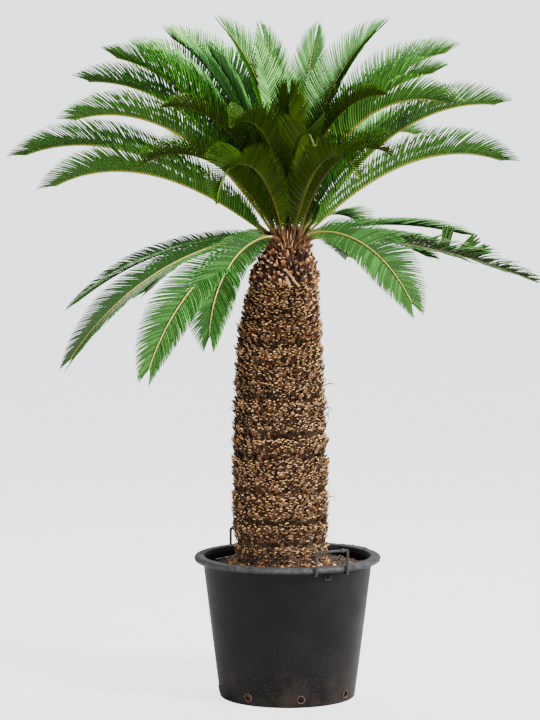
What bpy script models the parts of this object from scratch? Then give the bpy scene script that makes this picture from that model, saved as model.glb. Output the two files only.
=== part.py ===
# Potted sago palm: a ringed trunk, a crown of fronds, a nursery pot with two grips, and its soil.
# Metres, Z up, the pot's flat underside on z = 0. The viewer of the photo stands toward -Y, its right is +X.

import collections
import math

import bmesh
import bpy
import numpy as np
from mathutils import Vector
from mathutils.bvhtree import BVHTree

# Space left between neighbouring pieces, and a length that stands for none
GAP = 0.0003
TINY = 0.000001

# Pot
POT_HEIGHT = 0.496
POT_FOOT_RADIUS = 0.2365
POT_NECK_RADIUS = 0.2945
POT_WALL = 0.005
POT_FOOT_ROUND = 0.006
RIM_RADIUS = 0.3252
RIM_TALL = 0.022
RIM_ROUND_STEPS = 6
POT_SEGMENTS = 40

# Drainage holes, through the wall just above the floor
HOLE_COUNT = 8
HOLE_RADIUS = 0.013
HOLE_HEIGHT = 0.030
HOLE_FIRST_ANGLE = -124.3
HOLE_SEGMENTS = 12
HOLE_CUT_DEPTH = 0.040

# Grips: rigid bars that stand over the rim and hook under it
GRIP_ANGLES = {"grip_front_right": -62.9, "grip_back_left": 117.1}
GRIP_WIDTH = 0.120
GRIP_BAR_HEIGHT = 0.550
GRIP_BAR_SIZE = 0.0095
GRIP_BULGE_SIZE = 0.015
GRIP_LEG_RADIUS = 0.3264
GRIP_HOOK_SIZE = 0.009
GRIP_HOOK_RADIUS = 0.305
GRIP_LEG_STRAIGHTENS = 0.020
GRIP_BULGE_SPAN = (0.012, 0.015, 0.022, 0.025)
GRIP_SIDES = 8

# Soil
SOIL_TOP = 0.4582
SOIL_MOUND_RISE = 0.006
SOIL_MOUND_RADIUS = 0.224
SOIL_FLAT_RADIUS = 0.196
SOIL_MOUND_EDGE = 0.255
SOIL_EDGE_DROP = 0.006

# Trunk: height and radius of the main profile, then height and depth of the grooves between growth rings
TRUNK_FOOT = SOIL_TOP + GAP
TRUNK_PROFILE = (
    (TRUNK_FOOT, 0.167),
    (0.90, 0.163),
    (1.10, 0.152),
    (1.30, 0.142),
    (1.35, 0.132),
    (1.40, 0.127),
    (1.43, 0.116),
    (1.465, 0.125),
    (1.52, 0.098),
    (1.572, 0.067),
)
TRUNK_GROOVES = (
    (1.317, 0.003),
    (1.241, 0.007),
    (1.177, 0.003),
    (1.126, 0.003),
    (1.050, 0.007),
    (0.968, 0.003),
    (0.923, 0.011),
    (0.848, 0.009),
    (0.727, 0.010),
    (0.622, 0.006),
    (0.545, 0.007),
)
GROOVE_REACH = 0.016
# Each growth ring ends in a ledge under its groove: how far below, how much of the groove's depth, how tall
LEDGE_DROP = 0.024
LEDGE_SHARE = 0.45
LEDGE_REACH = 0.014
TRUNK_LEAN = ((TRUNK_FOOT, -0.022), (0.85, -0.027), (1.25, -0.029), (1.45, -0.014), (1.572, 0.004))
TRUNK_SEGMENTS = 32
TRUNK_RINGS = 47
# How far the old leaf bases stand out and the hollows between them lie in, then the same for the stubs
SCALE_RELIEF = (0.004, 0.007)
STUB_RELIEF = (0.007, 0.007)
STUB_START = 1.44
CROWN_TOP_RISE = 0.020
CROWN_TOP_RINGS = (0.75, 0.45, 0.18)

# Rib of a frond, and how it leaves the trunk
FOOT_ELEVATION = 80
FOOT_BEND = 0.060
FOOT_SPREAD_RADIUS = 0.060
FOOT_PITCH = 0.0150
FOOT_SPREAD_ROUNDS = 80
RIB_STEPS = 120
RIB_WIDTH = (0.0090, 0.0030)
RIB_DEPTH = (0.0075, 0.0026)
PETIOLE_STATIONS = (0.0, 0.020, 0.045, 0.075)
PETIOLE_STATION_CLEARANCE = 0.010

# Leaves: each blade here stands for a run of the fine leaflets of one side
BAY = 0.072
LEAF_END_THICKNESS = 0.0017
LEAF_REAR_SHARE = 0.18
LEAF_FRONT_SHARE = 0.86
LEAF_REAR_REACH = 0.86
LEAF_FIRST_SHARE = 0.32
LEAF_GROWTH = 1.15
LEAF_TAPER_START = 0.6
LEAF_TAPER_LOSS = 0.45
LEAF_ANGLE = 70
LEAF_ANGLE_DROP = 28
LEAF_CLEARANCE = 0.0006
LEAF_TURNS = (0, 9, -9, 18, -18, 27, -27)
LEAF_REACHES = (1.0, 0.8, 0.6, 0.4)

# How each age of frond bends and spreads: power of the droop, leaf length, keel angle, bare petiole
Habit = collections.namedtuple("Habit", "power leaf keel bare")
HABITS = {
    "young": Habit(2.0, 0.130, 45, 0.095),
    "mature": Habit(1.9, 0.172, 52, 0.120),
    "old": Habit(0.8, 0.135, 20, 0.105),
}

# One row a frond: azimuth from +X seen from above, rise at the trunk, droop to the tip, length,
# swing of the azimuth, roll about the rib, and the share of the length at which an arched frond is split.
FROND_FIELDS = "habit azimuth rise droop length swing roll split"
Frond = collections.namedtuple("Frond", FROND_FIELDS, defaults=(0, 0, 0))
FRONDS = (
    # Young fronds in the middle, arching toward the viewer
    Frond("young", -118, 64, 150, 0.64, -4, 0, 0.56),
    Frond("young", -62, 69, 132, 0.60, 6, 0, 0.58),
    Frond("young", -38, 69, 102, 0.58),
    Frond("young", -84, 80, 125, 0.62, 10, 0, 0.60),
    Frond("young", -110, 78, 108, 0.66, -10, 0, 0.60),
    Frond("young", -92, 86, 50, 0.55),
    Frond("young", -50, 76, 80, 0.71, 10),
    Frond("young", -141, 69, 78, 0.72, -10),
    Frond("young", -145, 55, 92, 0.68, -10, 0, 0.60),
    # Young fronds standing up behind them
    Frond("young", 151, 85, 38, 0.77, 0, 25),
    Frond("young", 124, 86, 24, 0.71, 0, 25),
    Frond("young", 62, 82, 16, 0.71, 0, -24),
    Frond("young", 20, 81, 40, 0.79, 0, -35),
    # Young fronds arching away at the back
    Frond("young", 62, 66, 118, 0.62, 0, 0, 0.58),
    Frond("young", 97, 74, 112, 0.62, 0, 0, 0.60),
    Frond("young", 130, 62, 90, 0.62),
    # Mature fronds on the left
    Frond("mature", -172, 36, 64, 0.83),
    Frond("mature", 174, 39, 60, 0.98),
    Frond("mature", -165, 55, 73, 0.89),
    Frond("mature", 168, 60, 62, 0.93),
    Frond("mature", 172, 66, 53, 0.89),
    Frond("mature", 150, 67, 50, 0.91),
    Frond("mature", 138, 68, 44, 0.92),
    Frond("mature", 144, 75, 30, 0.72),
    # Mature fronds on the right
    Frond("mature", 26, 68, 58, 0.93),
    Frond("mature", 8, 72, 62, 0.79),
    Frond("mature", -8, 74, 91, 0.78),
    Frond("mature", 8, 55, 60, 0.88),
    Frond("mature", -12, 43, 62, 0.79),
    # Mature fronds at the back
    Frond("mature", 50, 50, 62, 0.82),
    Frond("mature", 76, 44, 66, 0.84),
    Frond("mature", 84, 62, 60, 0.86),
    Frond("mature", 106, 52, 68, 0.86),
    Frond("mature", 124, 44, 64, 0.82),
    # Old fronds round the foot of the crown, from the front right leftward
    Frond("old", -47, 26, 82, 0.63, 0, -35),
    Frond("old", -6, 5, 27, 0.82, 0, 18),
    Frond("old", 22, 19, 32, 0.63),
    Frond("old", 55, 45, 65, 0.43),
    Frond("old", 5, 15, 38, 0.57),
    Frond("old", 168, 8, 46, 0.77, 0, 14),
    Frond("old", -165, 4, 60, 0.86, 0, 18),
    Frond("old", -141, 0, 68, 0.74, 0, 28),
    Frond("old", -132, 17, 104, 0.55, 0, 20, 0.50),
    # Old fronds at the back
    Frond("old", 40, 12, 34, 0.62),
    Frond("old", 72, 14, 38, 0.70),
    Frond("old", 102, 10, 34, 0.72),
    Frond("old", 138, 8, 46, 0.70),
)

# Colours of the pieces: red, green, blue and roughness
POT_LOOK = (0.025, 0.026, 0.028, 0.45)
SOIL_LOOK = (0.035, 0.024, 0.017, 0.95)
TRUNK_LOOK = (0.17, 0.10, 0.06, 0.85)
FROND_LOOKS = {
    "young": (0.12, 0.20, 0.03, 0.5),
    "mature": (0.05, 0.14, 0.04, 0.5),
    "old": (0.06, 0.13, 0.05, 0.55),
}


def clear_scene():
    for item in list(bpy.data.objects):
        bpy.data.objects.remove(item, do_unlink=True)


def make_material(name, look):
    material = bpy.data.materials.new(name)
    material.use_nodes = True
    shader = material.node_tree.nodes["Principled BSDF"]
    shader.inputs["Base Color"].default_value = (*look[:3], 1)
    shader.inputs["Roughness"].default_value = look[3]
    return material


def add_object(name, points, faces, look, smooth=False):
    """A closed mesh with its faces turned outward and a material of its own."""
    mesh = bpy.data.meshes.new(name)
    mesh.from_pydata([tuple(point) for point in points], [], faces)
    shell = bmesh.new()
    shell.from_mesh(mesh)
    bmesh.ops.recalc_face_normals(shell, faces=shell.faces)
    if shell.calc_volume(signed=True) < 0:
        bmesh.ops.reverse_faces(shell, faces=shell.faces)
    shell.to_mesh(mesh)
    shell.free()
    item = bpy.data.objects.new(name, mesh)
    bpy.context.scene.collection.objects.link(item)
    mesh.materials.append(make_material(name + "_look", look))
    mesh.polygons.foreach_set("use_smooth", [smooth] * len(mesh.polygons))
    return item


def split_quad(a, b, c, d):
    return [(a, b, c), (a, c, d)]


def lathe(profile, segments):
    """Points and faces of a profile of (radius, height) pairs turned about Z; radius 0 closes it."""
    points = []
    rings = []
    for radius, height in profile:
        count = 1 if radius == 0 else segments
        rings.append([len(points) + k for k in range(count)])
        for k in range(count):
            angle = 2 * math.pi * k / segments
            points.append((radius * math.cos(angle), radius * math.sin(angle), height))
    faces = []
    for low, high in zip(rings, rings[1:]):
        for k in range(segments):
            corners = [
                low[k % len(low)],
                low[(k + 1) % len(low)],
                high[(k + 1) % len(high)],
                high[k % len(high)],
            ]
            faces.append(tuple(dict.fromkeys(corners)))
    return points, faces


# Pot, grips and soil

def pot_outer_radius(height):
    neck = POT_HEIGHT - RIM_TALL
    return POT_FOOT_RADIUS + (POT_NECK_RADIUS - POT_FOOT_RADIUS) * height / neck


def pot_profile():
    neck = POT_HEIGHT - RIM_TALL
    round_radius = RIM_TALL / 2
    profile = [(0, 0), (POT_FOOT_RADIUS - POT_FOOT_ROUND, 0)]
    bow = POT_FOOT_ROUND * (1 - math.sqrt(0.5))
    profile.append((pot_outer_radius(bow) - bow, bow))
    profile.append((pot_outer_radius(POT_FOOT_ROUND), POT_FOOT_ROUND))
    profile.append((POT_NECK_RADIUS, neck))
    for step in range(RIM_ROUND_STEPS + 1):
        angle = math.pi * (step / RIM_ROUND_STEPS - 0.5)
        radius = RIM_RADIUS - round_radius + round_radius * math.cos(angle)
        profile.append((radius, neck + round_radius + round_radius * math.sin(angle)))
    inner = POT_NECK_RADIUS - POT_WALL
    profile.append((inner + POT_WALL, POT_HEIGHT))
    profile.append((inner, POT_HEIGHT - POT_WALL))
    profile.append((inner, neck))
    profile.append((pot_outer_radius(POT_WALL) - POT_WALL, POT_WALL))
    profile.append((0, POT_WALL))
    return profile


def build_hole_cutter():
    points = []
    faces = []
    for hole in range(HOLE_COUNT):
        turn = math.radians(HOLE_FIRST_ANGLE + hole * 360 / HOLE_COUNT)
        outward = Vector((math.cos(turn), math.sin(turn), 0))
        across = Vector((-math.sin(turn), math.cos(turn), 0))
        first = len(points)
        middle = outward * pot_outer_radius(HOLE_HEIGHT) + Vector((0, 0, HOLE_HEIGHT))
        for end in (-1, 1):
            for k in range(HOLE_SEGMENTS):
                angle = 2 * math.pi * k / HOLE_SEGMENTS
                ring = across * math.cos(angle) + Vector((0, 0, math.sin(angle)))
                points.append(middle + outward * end * HOLE_CUT_DEPTH / 2 + ring * HOLE_RADIUS)
        near = list(range(first, first + HOLE_SEGMENTS))
        far = [k + HOLE_SEGMENTS for k in near]
        faces.append(tuple(reversed(near)))
        faces.append(tuple(far))
        for k in range(HOLE_SEGMENTS):
            following = (k + 1) % HOLE_SEGMENTS
            faces.append((near[k], near[following], far[following], far[k]))
    cutter = add_object("hole_cutter", points, faces, POT_LOOK)
    cutter.hide_render = True
    cutter.display_type = "WIRE"
    return cutter


def build_pot():
    points, faces = lathe(pot_profile(), POT_SEGMENTS)
    pot = add_object("pot", points, faces, POT_LOOK, smooth=True)
    cut = pot.modifiers.new("drainage holes", "BOOLEAN")
    cut.operation = "DIFFERENCE"
    cut.solver = "EXACT"
    cut.object = build_hole_cutter()


def sweep(path, sizes, sides):
    """A closed bar with mitred corners; its section has flats above, below and at its sides."""
    points = []
    count = len(path)
    start = (path[1] - path[0]).normalized()
    across = start.cross(Vector((0, 0, 1))).normalized()
    before = start
    for k in range(count):
        back = (path[k] - path[k - 1]).normalized() if k > 0 else start
        ahead = (path[k + 1] - path[k]).normalized() if k < count - 1 else back
        across = before.rotation_difference(back) @ across
        before = back
        bisector = (back + ahead).normalized()
        for side in range(sides):
            angle = 2 * math.pi * (side + 0.5) / sides
            spoke = across * math.cos(angle) + back.cross(across) * math.sin(angle)
            spoke = spoke * sizes[k] / 2 / math.cos(math.pi / sides)
            slide = spoke.dot(bisector) / back.dot(bisector)
            points.append(path[k] + spoke - back * slide)
    faces = [tuple(reversed(range(sides)))]
    for k in range(count - 1):
        for side in range(sides):
            following = (side + 1) % sides
            low = k * sides
            faces.append((low + side, low + following, low + sides + following, low + sides + side))
    faces.append(tuple(range((count - 1) * sides, count * sides)))
    return points, faces


def build_grip(name, angle):
    turn = math.radians(angle)
    outward = Vector((math.cos(turn), math.sin(turn), 0))
    across = Vector((-math.sin(turn), math.cos(turn), 0))
    half = GRIP_WIDTH / 2
    hook_height = POT_HEIGHT - RIM_TALL - GAP - GRIP_HOOK_SIZE / 2
    one_side = [
        (half, GRIP_HOOK_RADIUS, hook_height, GRIP_HOOK_SIZE),
        (half, GRIP_LEG_RADIUS, hook_height, GRIP_HOOK_SIZE),
        (half, GRIP_LEG_RADIUS, hook_height + GRIP_LEG_STRAIGHTENS, GRIP_BAR_SIZE),
        (half, GRIP_LEG_RADIUS, GRIP_BAR_HEIGHT, GRIP_BAR_SIZE),
    ]
    bulge_sizes = (GRIP_BAR_SIZE, GRIP_BULGE_SIZE, GRIP_BULGE_SIZE, GRIP_BAR_SIZE)
    for inset, size in zip(GRIP_BULGE_SPAN, bulge_sizes):
        one_side.append((half - inset, GRIP_LEG_RADIUS, GRIP_BAR_HEIGHT, size))
    other_side = [(-side, radius, height, size) for side, radius, height, size in reversed(one_side)]
    path = []
    sizes = []
    for side, radius, height, size in one_side + other_side:
        path.append(across * side + outward * radius + Vector((0, 0, height)))
        sizes.append(size)
    points, faces = sweep(path, sizes, GRIP_SIDES)
    add_object(name, points, faces, POT_LOOK, smooth=True)


def build_soil():
    floor = POT_WALL + GAP
    edge = SOIL_TOP - SOIL_EDGE_DROP
    inner_foot = pot_outer_radius(floor) - POT_WALL - GAP
    inner_edge = pot_outer_radius(edge) - POT_WALL - GAP
    profile = [
        (0, floor),
        (inner_foot, floor),
        (inner_edge, edge),
        (SOIL_MOUND_EDGE, SOIL_TOP),
        (SOIL_MOUND_RADIUS, SOIL_TOP + SOIL_MOUND_RISE),
        (SOIL_FLAT_RADIUS, SOIL_TOP),
        (0, SOIL_TOP),
    ]
    points, faces = lathe(profile, POT_SEGMENTS)
    add_object("soil", points, faces, SOIL_LOOK)


# Trunk

def lean_at(height):
    heights, offsets = zip(*TRUNK_LEAN)
    return float(np.interp(height, heights, offsets))


def trunk_radius(height):
    heights, radii = zip(*TRUNK_PROFILE)
    radius = float(np.interp(height, heights, radii))
    for groove, depth in TRUNK_GROOVES:
        radius -= depth * math.exp(-(((height - groove) / GROOVE_REACH) ** 2))
        ledge = groove - LEDGE_DROP
        radius += depth * LEDGE_SHARE * math.exp(-(((height - ledge) / LEDGE_REACH) ** 2))
    return radius


def crown_height(radius):
    """Height of the trunk's rounded top at a distance from its middle."""
    rim_height, rim_radius = TRUNK_PROFILE[-1]
    return rim_height + CROWN_TOP_RISE * (1 - (radius / rim_radius) ** 2)


def trunk_heights():
    """Even ring heights, the nearest one moved into each groove."""
    heights = list(np.linspace(TRUNK_FOOT, TRUNK_PROFILE[-1][0], TRUNK_RINGS))
    for groove, _ in TRUNK_GROOVES:
        nearest = min(range(TRUNK_RINGS), key=lambda k: abs(heights[k] - groove))
        heights[nearest] = groove
    return heights


def scale_relief(ring, segment, height):
    """Alternate corners stand out, so the facets read as the scales of old leaf bases."""
    if ring in (0, TRUNK_RINGS - 1):
        return 0
    out, back = STUB_RELIEF if height > STUB_START else SCALE_RELIEF
    return out if (ring + segment) % 2 == 0 else -back


def build_trunk():
    rings = []
    for ring, height in enumerate(trunk_heights()):
        radii = [trunk_radius(height) + scale_relief(ring, k, height) for k in range(TRUNK_SEGMENTS)]
        rings.append((height, lean_at(height), radii))
    rim_radius = TRUNK_PROFILE[-1][1]
    for share in CROWN_TOP_RINGS:
        radius = rim_radius * share
        rings.append((crown_height(radius), TRUNK_LEAN[-1][1], [radius] * TRUNK_SEGMENTS))
    points = [(lean_at(TRUNK_FOOT), 0, TRUNK_FOOT)]
    for height, middle, radii in rings:
        for k, radius in enumerate(radii):
            angle = 2 * math.pi * k / TRUNK_SEGMENTS
            points.append((middle + radius * math.cos(angle), radius * math.sin(angle), height))
    points.append((TRUNK_LEAN[-1][1], 0, crown_height(0)))
    faces = []
    last = len(points) - 1
    top = last - TRUNK_SEGMENTS
    for k in range(TRUNK_SEGMENTS):
        following = (k + 1) % TRUNK_SEGMENTS
        faces.append((0, 1 + following, 1 + k))
        faces.append((last, top + k, top + following))
        for ring in range(len(rings) - 1):
            low = 1 + ring * TRUNK_SEGMENTS
            high = low + TRUNK_SEGMENTS
            if (ring + k) % 2 == 0:
                faces.extend(split_quad(low + k, low + following, high + following, high + k))
            else:
                faces.extend(split_quad(low + following, high + following, high + k, low + k))
    return add_object("trunk", points, faces, TRUNK_LOOK)


# Ribs of the fronds

def crown_middle():
    return np.array([TRUNK_LEAN[-1][1], 0.0])


def frond_feet():
    """Where each petiole leaves the trunk's top: the steeper the frond, the nearer the middle."""
    order = sorted(range(len(FRONDS)), key=lambda k: -FRONDS[k].rise)
    feet = np.zeros((len(FRONDS), 2))
    for rank, index in enumerate(order):
        radius = FOOT_SPREAD_RADIUS * math.sqrt((rank + 0.5) / len(FRONDS))
        angle = math.radians(FRONDS[index].azimuth)
        feet[index] = (radius * math.cos(angle), radius * math.sin(angle))
    for _ in range(FOOT_SPREAD_ROUNDS):
        for k in range(len(feet)):
            apart = feet - feet[k]
            distance = np.hypot(apart[:, 0], apart[:, 1])
            distance[k] = FOOT_PITCH
            push = np.clip(FOOT_PITCH - distance, 0, None) / 2
            feet += apart * (push / np.maximum(distance, TINY))[:, None]
        reach = np.hypot(feet[:, 0], feet[:, 1])
        feet *= np.minimum(1, FOOT_SPREAD_RADIUS / reach)[:, None]
    return feet + crown_middle()


def rib_angles(frond, share):
    """Elevation and azimuth in radians of the rib at a share of its length."""
    power = HABITS[frond.habit].power
    foot = np.clip(1 - share * frond.length / FOOT_BEND, 0, 1) ** 2
    elevation = frond.rise - frond.droop * share**power + (FOOT_ELEVATION - frond.rise) * foot
    return np.radians(elevation), np.radians(frond.azimuth + frond.swing * share)


def rib_line(frond, foot):
    """Points along the rib, from the foot of the petiole to the tip."""
    steps = np.linspace(0, 1, RIB_STEPS + 1)
    elevation, azimuth = rib_angles(frond, (steps[1:] + steps[:-1]) / 2)
    level = np.cos(elevation)
    moves = np.stack([level * np.cos(azimuth), level * np.sin(azimuth), np.sin(elevation)], 1)
    start = np.array([foot[0], foot[1], crown_height(np.hypot(*(foot - crown_middle()))) + GAP])
    line = np.vstack([np.zeros(3), np.cumsum(moves * frond.length / RIB_STEPS, 0)])
    return start + line


def rib_frame(frond, line, share):
    """Point, direction, sideways and upward axes of the rib at a share of its length."""
    steps = np.linspace(0, 1, RIB_STEPS + 1)
    point = np.array([np.interp(share, steps, line[:, axis]) for axis in range(3)])
    elevation, azimuth = rib_angles(frond, share)
    level = math.cos(elevation)
    along = np.array([level * math.cos(azimuth), level * math.sin(azimuth), math.sin(elevation)])
    side = np.array([math.sin(azimuth), -math.cos(azimuth), 0])
    up = np.cross(side, along)
    roll = math.radians(frond.roll)
    turned_side = side * math.cos(roll) + up * math.sin(roll)
    turned_up = up * math.cos(roll) - side * math.sin(roll)
    return point, along, turned_side, turned_up


def rib_section(frond, line, share, margin=0):
    """Four corners of the rib: left top, right top, right bottom, left bottom."""
    point, _, side, up = rib_frame(frond, line, share)
    half_width = (RIB_WIDTH[0] + (RIB_WIDTH[1] - RIB_WIDTH[0]) * share) / 2 + margin
    half_depth = (RIB_DEPTH[0] + (RIB_DEPTH[1] - RIB_DEPTH[0]) * share) / 2 + margin
    corners = []
    for across, over in ((-1, 1), (1, 1), (1, -1), (-1, -1)):
        corners.append(point + side * across * half_width + up * over * half_depth)
    if share == 0:
        for corner in corners:
            corner[2] = crown_height(np.hypot(*(corner[:2] - crown_middle()))) + GAP
    return corners


def frond_stations(frond):
    """Shares of the length at which the rib has a section, and the number of those on the bare petiole."""
    habit = HABITS[frond.habit]
    end = habit.bare - PETIOLE_STATION_CLEARANCE
    petiole = [station for station in PETIOLE_STATIONS if station < end]
    bays = round((frond.length - habit.bare) / BAY)
    leafy = [habit.bare + (frond.length - habit.bare) * k / bays for k in range(bays + 1)]
    return [station / frond.length for station in petiole + leafy], len(petiole)


def rib_faces(count):
    faces = [(0, 1, 2, 3)]
    for k in range(count - 1):
        for corner in range(4):
            following = (corner + 1) % 4
            near = 4 * k
            far = near + 4
            faces.extend(split_quad(near + corner, near + following, far + following, far + corner))
    last = 4 * (count - 1)
    faces.append((last + 3, last + 2, last + 1, last))
    return faces


# Leaves

def leaf_length(frond, share):
    """Leaves are short at the petiole, longest in the middle and shorter toward the tip."""
    habit = HABITS[frond.habit]
    past = max(0, (share - LEAF_TAPER_START) / (1 - LEAF_TAPER_START))
    taper = 1 - LEAF_TAPER_LOSS * past**2
    return habit.leaf * min(1, LEAF_FIRST_SHARE + LEAF_GROWTH * share) * taper


def leaf_body(frond, line, span, side_sign, turn, reach, margin=0):
    """Corners of one leaf: two at the rib top, two at the rib bottom, then its rear and front ends."""
    near, far = span
    near_corners = rib_section(frond, line, near)
    far_corners = rib_section(frond, line, far)
    top, bottom = (1, 2) if side_sign > 0 else (0, 3)
    middle = (near + far) / 2
    _, along, side, up = rib_frame(frond, line, middle)
    spread = math.radians(LEAF_ANGLE - LEAF_ANGLE_DROP * middle)
    keel = math.radians(HABITS[frond.habit].keel + turn)
    outward = side * side_sign * math.cos(keel) + up * math.sin(keel)
    heading = along * math.cos(spread) + outward * math.sin(spread)
    normal = up * math.cos(keel) - side * side_sign * math.sin(keel)
    length = leaf_length(frond, middle) * reach
    root = (near_corners[top] + near_corners[bottom]) / 2
    step = (far_corners[top] + far_corners[bottom]) / 2 - root
    rear = root + step * LEAF_REAR_SHARE + heading * (length * LEAF_REAR_REACH + margin) - along * margin
    front = root + step * LEAF_FRONT_SHARE + heading * (length + margin) + along * margin
    lift = normal * (LEAF_END_THICKNESS / 2 + margin)
    thicken = normal * margin
    return [
        near_corners[top] + thicken,
        far_corners[top] + thicken,
        near_corners[bottom] - thicken,
        far_corners[bottom] - thicken,
        rear + lift,
        front + lift,
        rear - lift,
        front - lift,
    ]


def leaf_faces(near_top, far_top, near_bottom, far_bottom, rear_top, front_top, rear_bottom, front_bottom):
    faces = [(near_top, far_top, front_top), (near_top, front_top, rear_top)]
    faces += [(near_bottom, front_bottom, far_bottom), (near_bottom, rear_bottom, front_bottom)]
    faces += split_quad(near_top, rear_top, rear_bottom, near_bottom)
    faces += split_quad(far_top, far_bottom, front_bottom, front_top)
    faces += split_quad(rear_top, front_top, front_bottom, rear_bottom)
    return faces


def make_tree(points, faces):
    return BVHTree.FromPolygons([Vector(point) for point in points], faces)


def box_of(points):
    array = np.array(points)
    return array.min(0), array.max(0)


def boxes_meet(first, second):
    return bool(np.all(first[0] <= second[1]) and np.all(second[0] <= first[1]))


def is_free(owner, body, obstacles):
    """Whether a leaf is clear of every rib and leaf placed so far, but for its own rib and neighbours."""
    frond_index, side_sign, bay = owner
    box = box_of(body)
    tree = None
    for other, other_box, other_tree in obstacles:
        if other[0] == frond_index:
            if other[1] == 0 or (other[1] == side_sign and abs(other[2] - bay) <= 1):
                continue
        if not boxes_meet(box, other_box):
            continue
        if tree is None:
            base_face = [(0, 2, 1), (1, 2, 3)]
            tree = make_tree(body, leaf_faces(*range(8)) + base_face)
        if tree.overlap(other_tree):
            return False
    return True


def place_leaf(frond, line, span, owner, obstacles):
    """The first turn and reach at which the leaf touches nothing, or None."""
    for reach in LEAF_REACHES:
        for turn in LEAF_TURNS:
            body = leaf_body(frond, line, span, owner[1], turn, reach, LEAF_CLEARANCE)
            if is_free(owner, body, obstacles):
                tree = make_tree(body, leaf_faces(*range(8)))
                obstacles.append((owner, box_of(body), tree))
                return leaf_body(frond, line, span, owner[1], turn, reach)
    return None


def rib_obstacles(lines):
    obstacles = []
    for index, frond in enumerate(FRONDS):
        stations, _ = frond_stations(frond)
        points = []
        for share in stations:
            points.extend(rib_section(frond, lines[index], share, LEAF_CLEARANCE))
        tree = make_tree(points, rib_faces(len(stations)))
        obstacles.append(((index, 0, 0), box_of(points), tree))
    return obstacles


def trunk_obstacle(trunk):
    points = [vertex.co.copy() for vertex in trunk.data.vertices]
    faces = [tuple(face.vertices) for face in trunk.data.polygons]
    return ((-1, 0, 0), box_of(points), make_tree(points, faces))


def build_piece(name, frond, index, line, stations, bare, obstacles, first_bay):
    """One closed piece of a frond: the rib through the stations, and a leaf on each side of a bay."""
    points = []
    for share in stations:
        points.extend(rib_section(frond, line, share))
    faces = rib_faces(len(stations))
    for bay in range(bare, len(stations) - 1):
        for side_sign in (-1, 1):
            owner = (index, side_sign, first_bay + bay)
            body = place_leaf(frond, line, stations[bay : bay + 2], owner, obstacles)
            if body is None:
                continue
            top, bottom = (1, 2) if side_sign > 0 else (0, 3)
            root = [4 * bay + top, 4 * bay + 4 + top, 4 * bay + bottom, 4 * bay + 4 + bottom]
            faces = [face for face in faces if not set(face) <= set(root)]
            first_end = len(points)
            points.extend(body[4:])
            faces += leaf_faces(*root, *range(first_end, first_end + 4))
    add_object(name, points, faces, FROND_LOOKS[frond.habit])


def build_frond(name, frond, index, line, obstacles):
    stations, bare = frond_stations(frond)
    if not frond.split:
        build_piece(name, frond, index, line, stations, bare, obstacles, 0)
        return
    cut = min(range(len(stations)), key=lambda k: abs(stations[k] - frond.split))
    build_piece(name + "_base", frond, index, line, stations[: cut + 1], bare, obstacles, 0)
    rest = stations[cut:]
    rest[0] += GAP / frond.length
    build_piece(name + "_tip", frond, index, line, rest, 0, obstacles, cut)


def build_fronds(trunk):
    feet = frond_feet()
    lines = [rib_line(frond, foot) for frond, foot in zip(FRONDS, feet)]
    obstacles = [trunk_obstacle(trunk)] + rib_obstacles(lines)
    counts = collections.Counter()
    for index, frond in enumerate(FRONDS):
        counts[frond.habit] += 1
        name = f"{frond.habit}_frond_{counts[frond.habit]:02d}"
        build_frond(name, frond, index, lines[index], obstacles)


def main():
    clear_scene()
    build_pot()
    for name, angle in GRIP_ANGLES.items():
        build_grip(name, angle)
    build_soil()
    build_fronds(build_trunk())


main()
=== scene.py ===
import collections
import math

import bpy
import numpy as np
from mathutils import Matrix, Vector


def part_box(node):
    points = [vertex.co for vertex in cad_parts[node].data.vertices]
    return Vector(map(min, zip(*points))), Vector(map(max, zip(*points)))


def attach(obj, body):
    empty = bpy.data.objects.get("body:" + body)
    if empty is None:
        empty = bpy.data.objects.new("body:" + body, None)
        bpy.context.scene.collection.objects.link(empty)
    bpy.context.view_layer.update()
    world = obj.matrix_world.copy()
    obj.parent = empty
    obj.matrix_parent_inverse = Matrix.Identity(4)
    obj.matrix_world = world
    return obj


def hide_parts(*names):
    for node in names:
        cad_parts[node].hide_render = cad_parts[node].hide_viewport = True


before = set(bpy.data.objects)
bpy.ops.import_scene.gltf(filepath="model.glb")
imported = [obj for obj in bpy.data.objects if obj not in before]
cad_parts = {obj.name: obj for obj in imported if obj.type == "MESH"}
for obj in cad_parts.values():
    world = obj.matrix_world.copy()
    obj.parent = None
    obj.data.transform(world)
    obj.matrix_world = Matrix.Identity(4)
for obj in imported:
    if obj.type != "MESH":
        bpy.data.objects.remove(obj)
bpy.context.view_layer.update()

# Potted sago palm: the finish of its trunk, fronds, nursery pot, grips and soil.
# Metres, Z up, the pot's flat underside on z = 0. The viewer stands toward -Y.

bl_info = {
    "name": "Potted Sago Palm",
    "version": (1, 0, 0),
    "blender": (4, 5, 0),
    "location": "3D View > Sidebar > Sago Palm",
    "description": "Dresses a potted sago palm with bark scales, leaflets, a moulded pot and soil",
    "category": "Object",
}

POT_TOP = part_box("pot")[1]
SOIL_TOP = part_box("trunk")[0].z
BODY = "root"
SEED = 11

# Trunk: height and radius of the main profile, then height and depth of the grooves between growth rings
TRUNK_PROFILE = (
    (SOIL_TOP, 0.167),
    (0.90, 0.163),
    (1.10, 0.152),
    (1.30, 0.142),
    (1.35, 0.132),
    (1.40, 0.127),
    (1.43, 0.116),
    (1.465, 0.125),
    (1.52, 0.098),
    (1.572, 0.067),
)
TRUNK_GROOVES = (
    (1.317, 0.003),
    (1.241, 0.007),
    (1.177, 0.003),
    (1.126, 0.003),
    (1.050, 0.007),
    (0.968, 0.003),
    (0.923, 0.011),
    (0.848, 0.009),
    (0.727, 0.010),
    (0.622, 0.006),
    (0.545, 0.007),
)
GROOVE_REACH = 0.016
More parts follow.
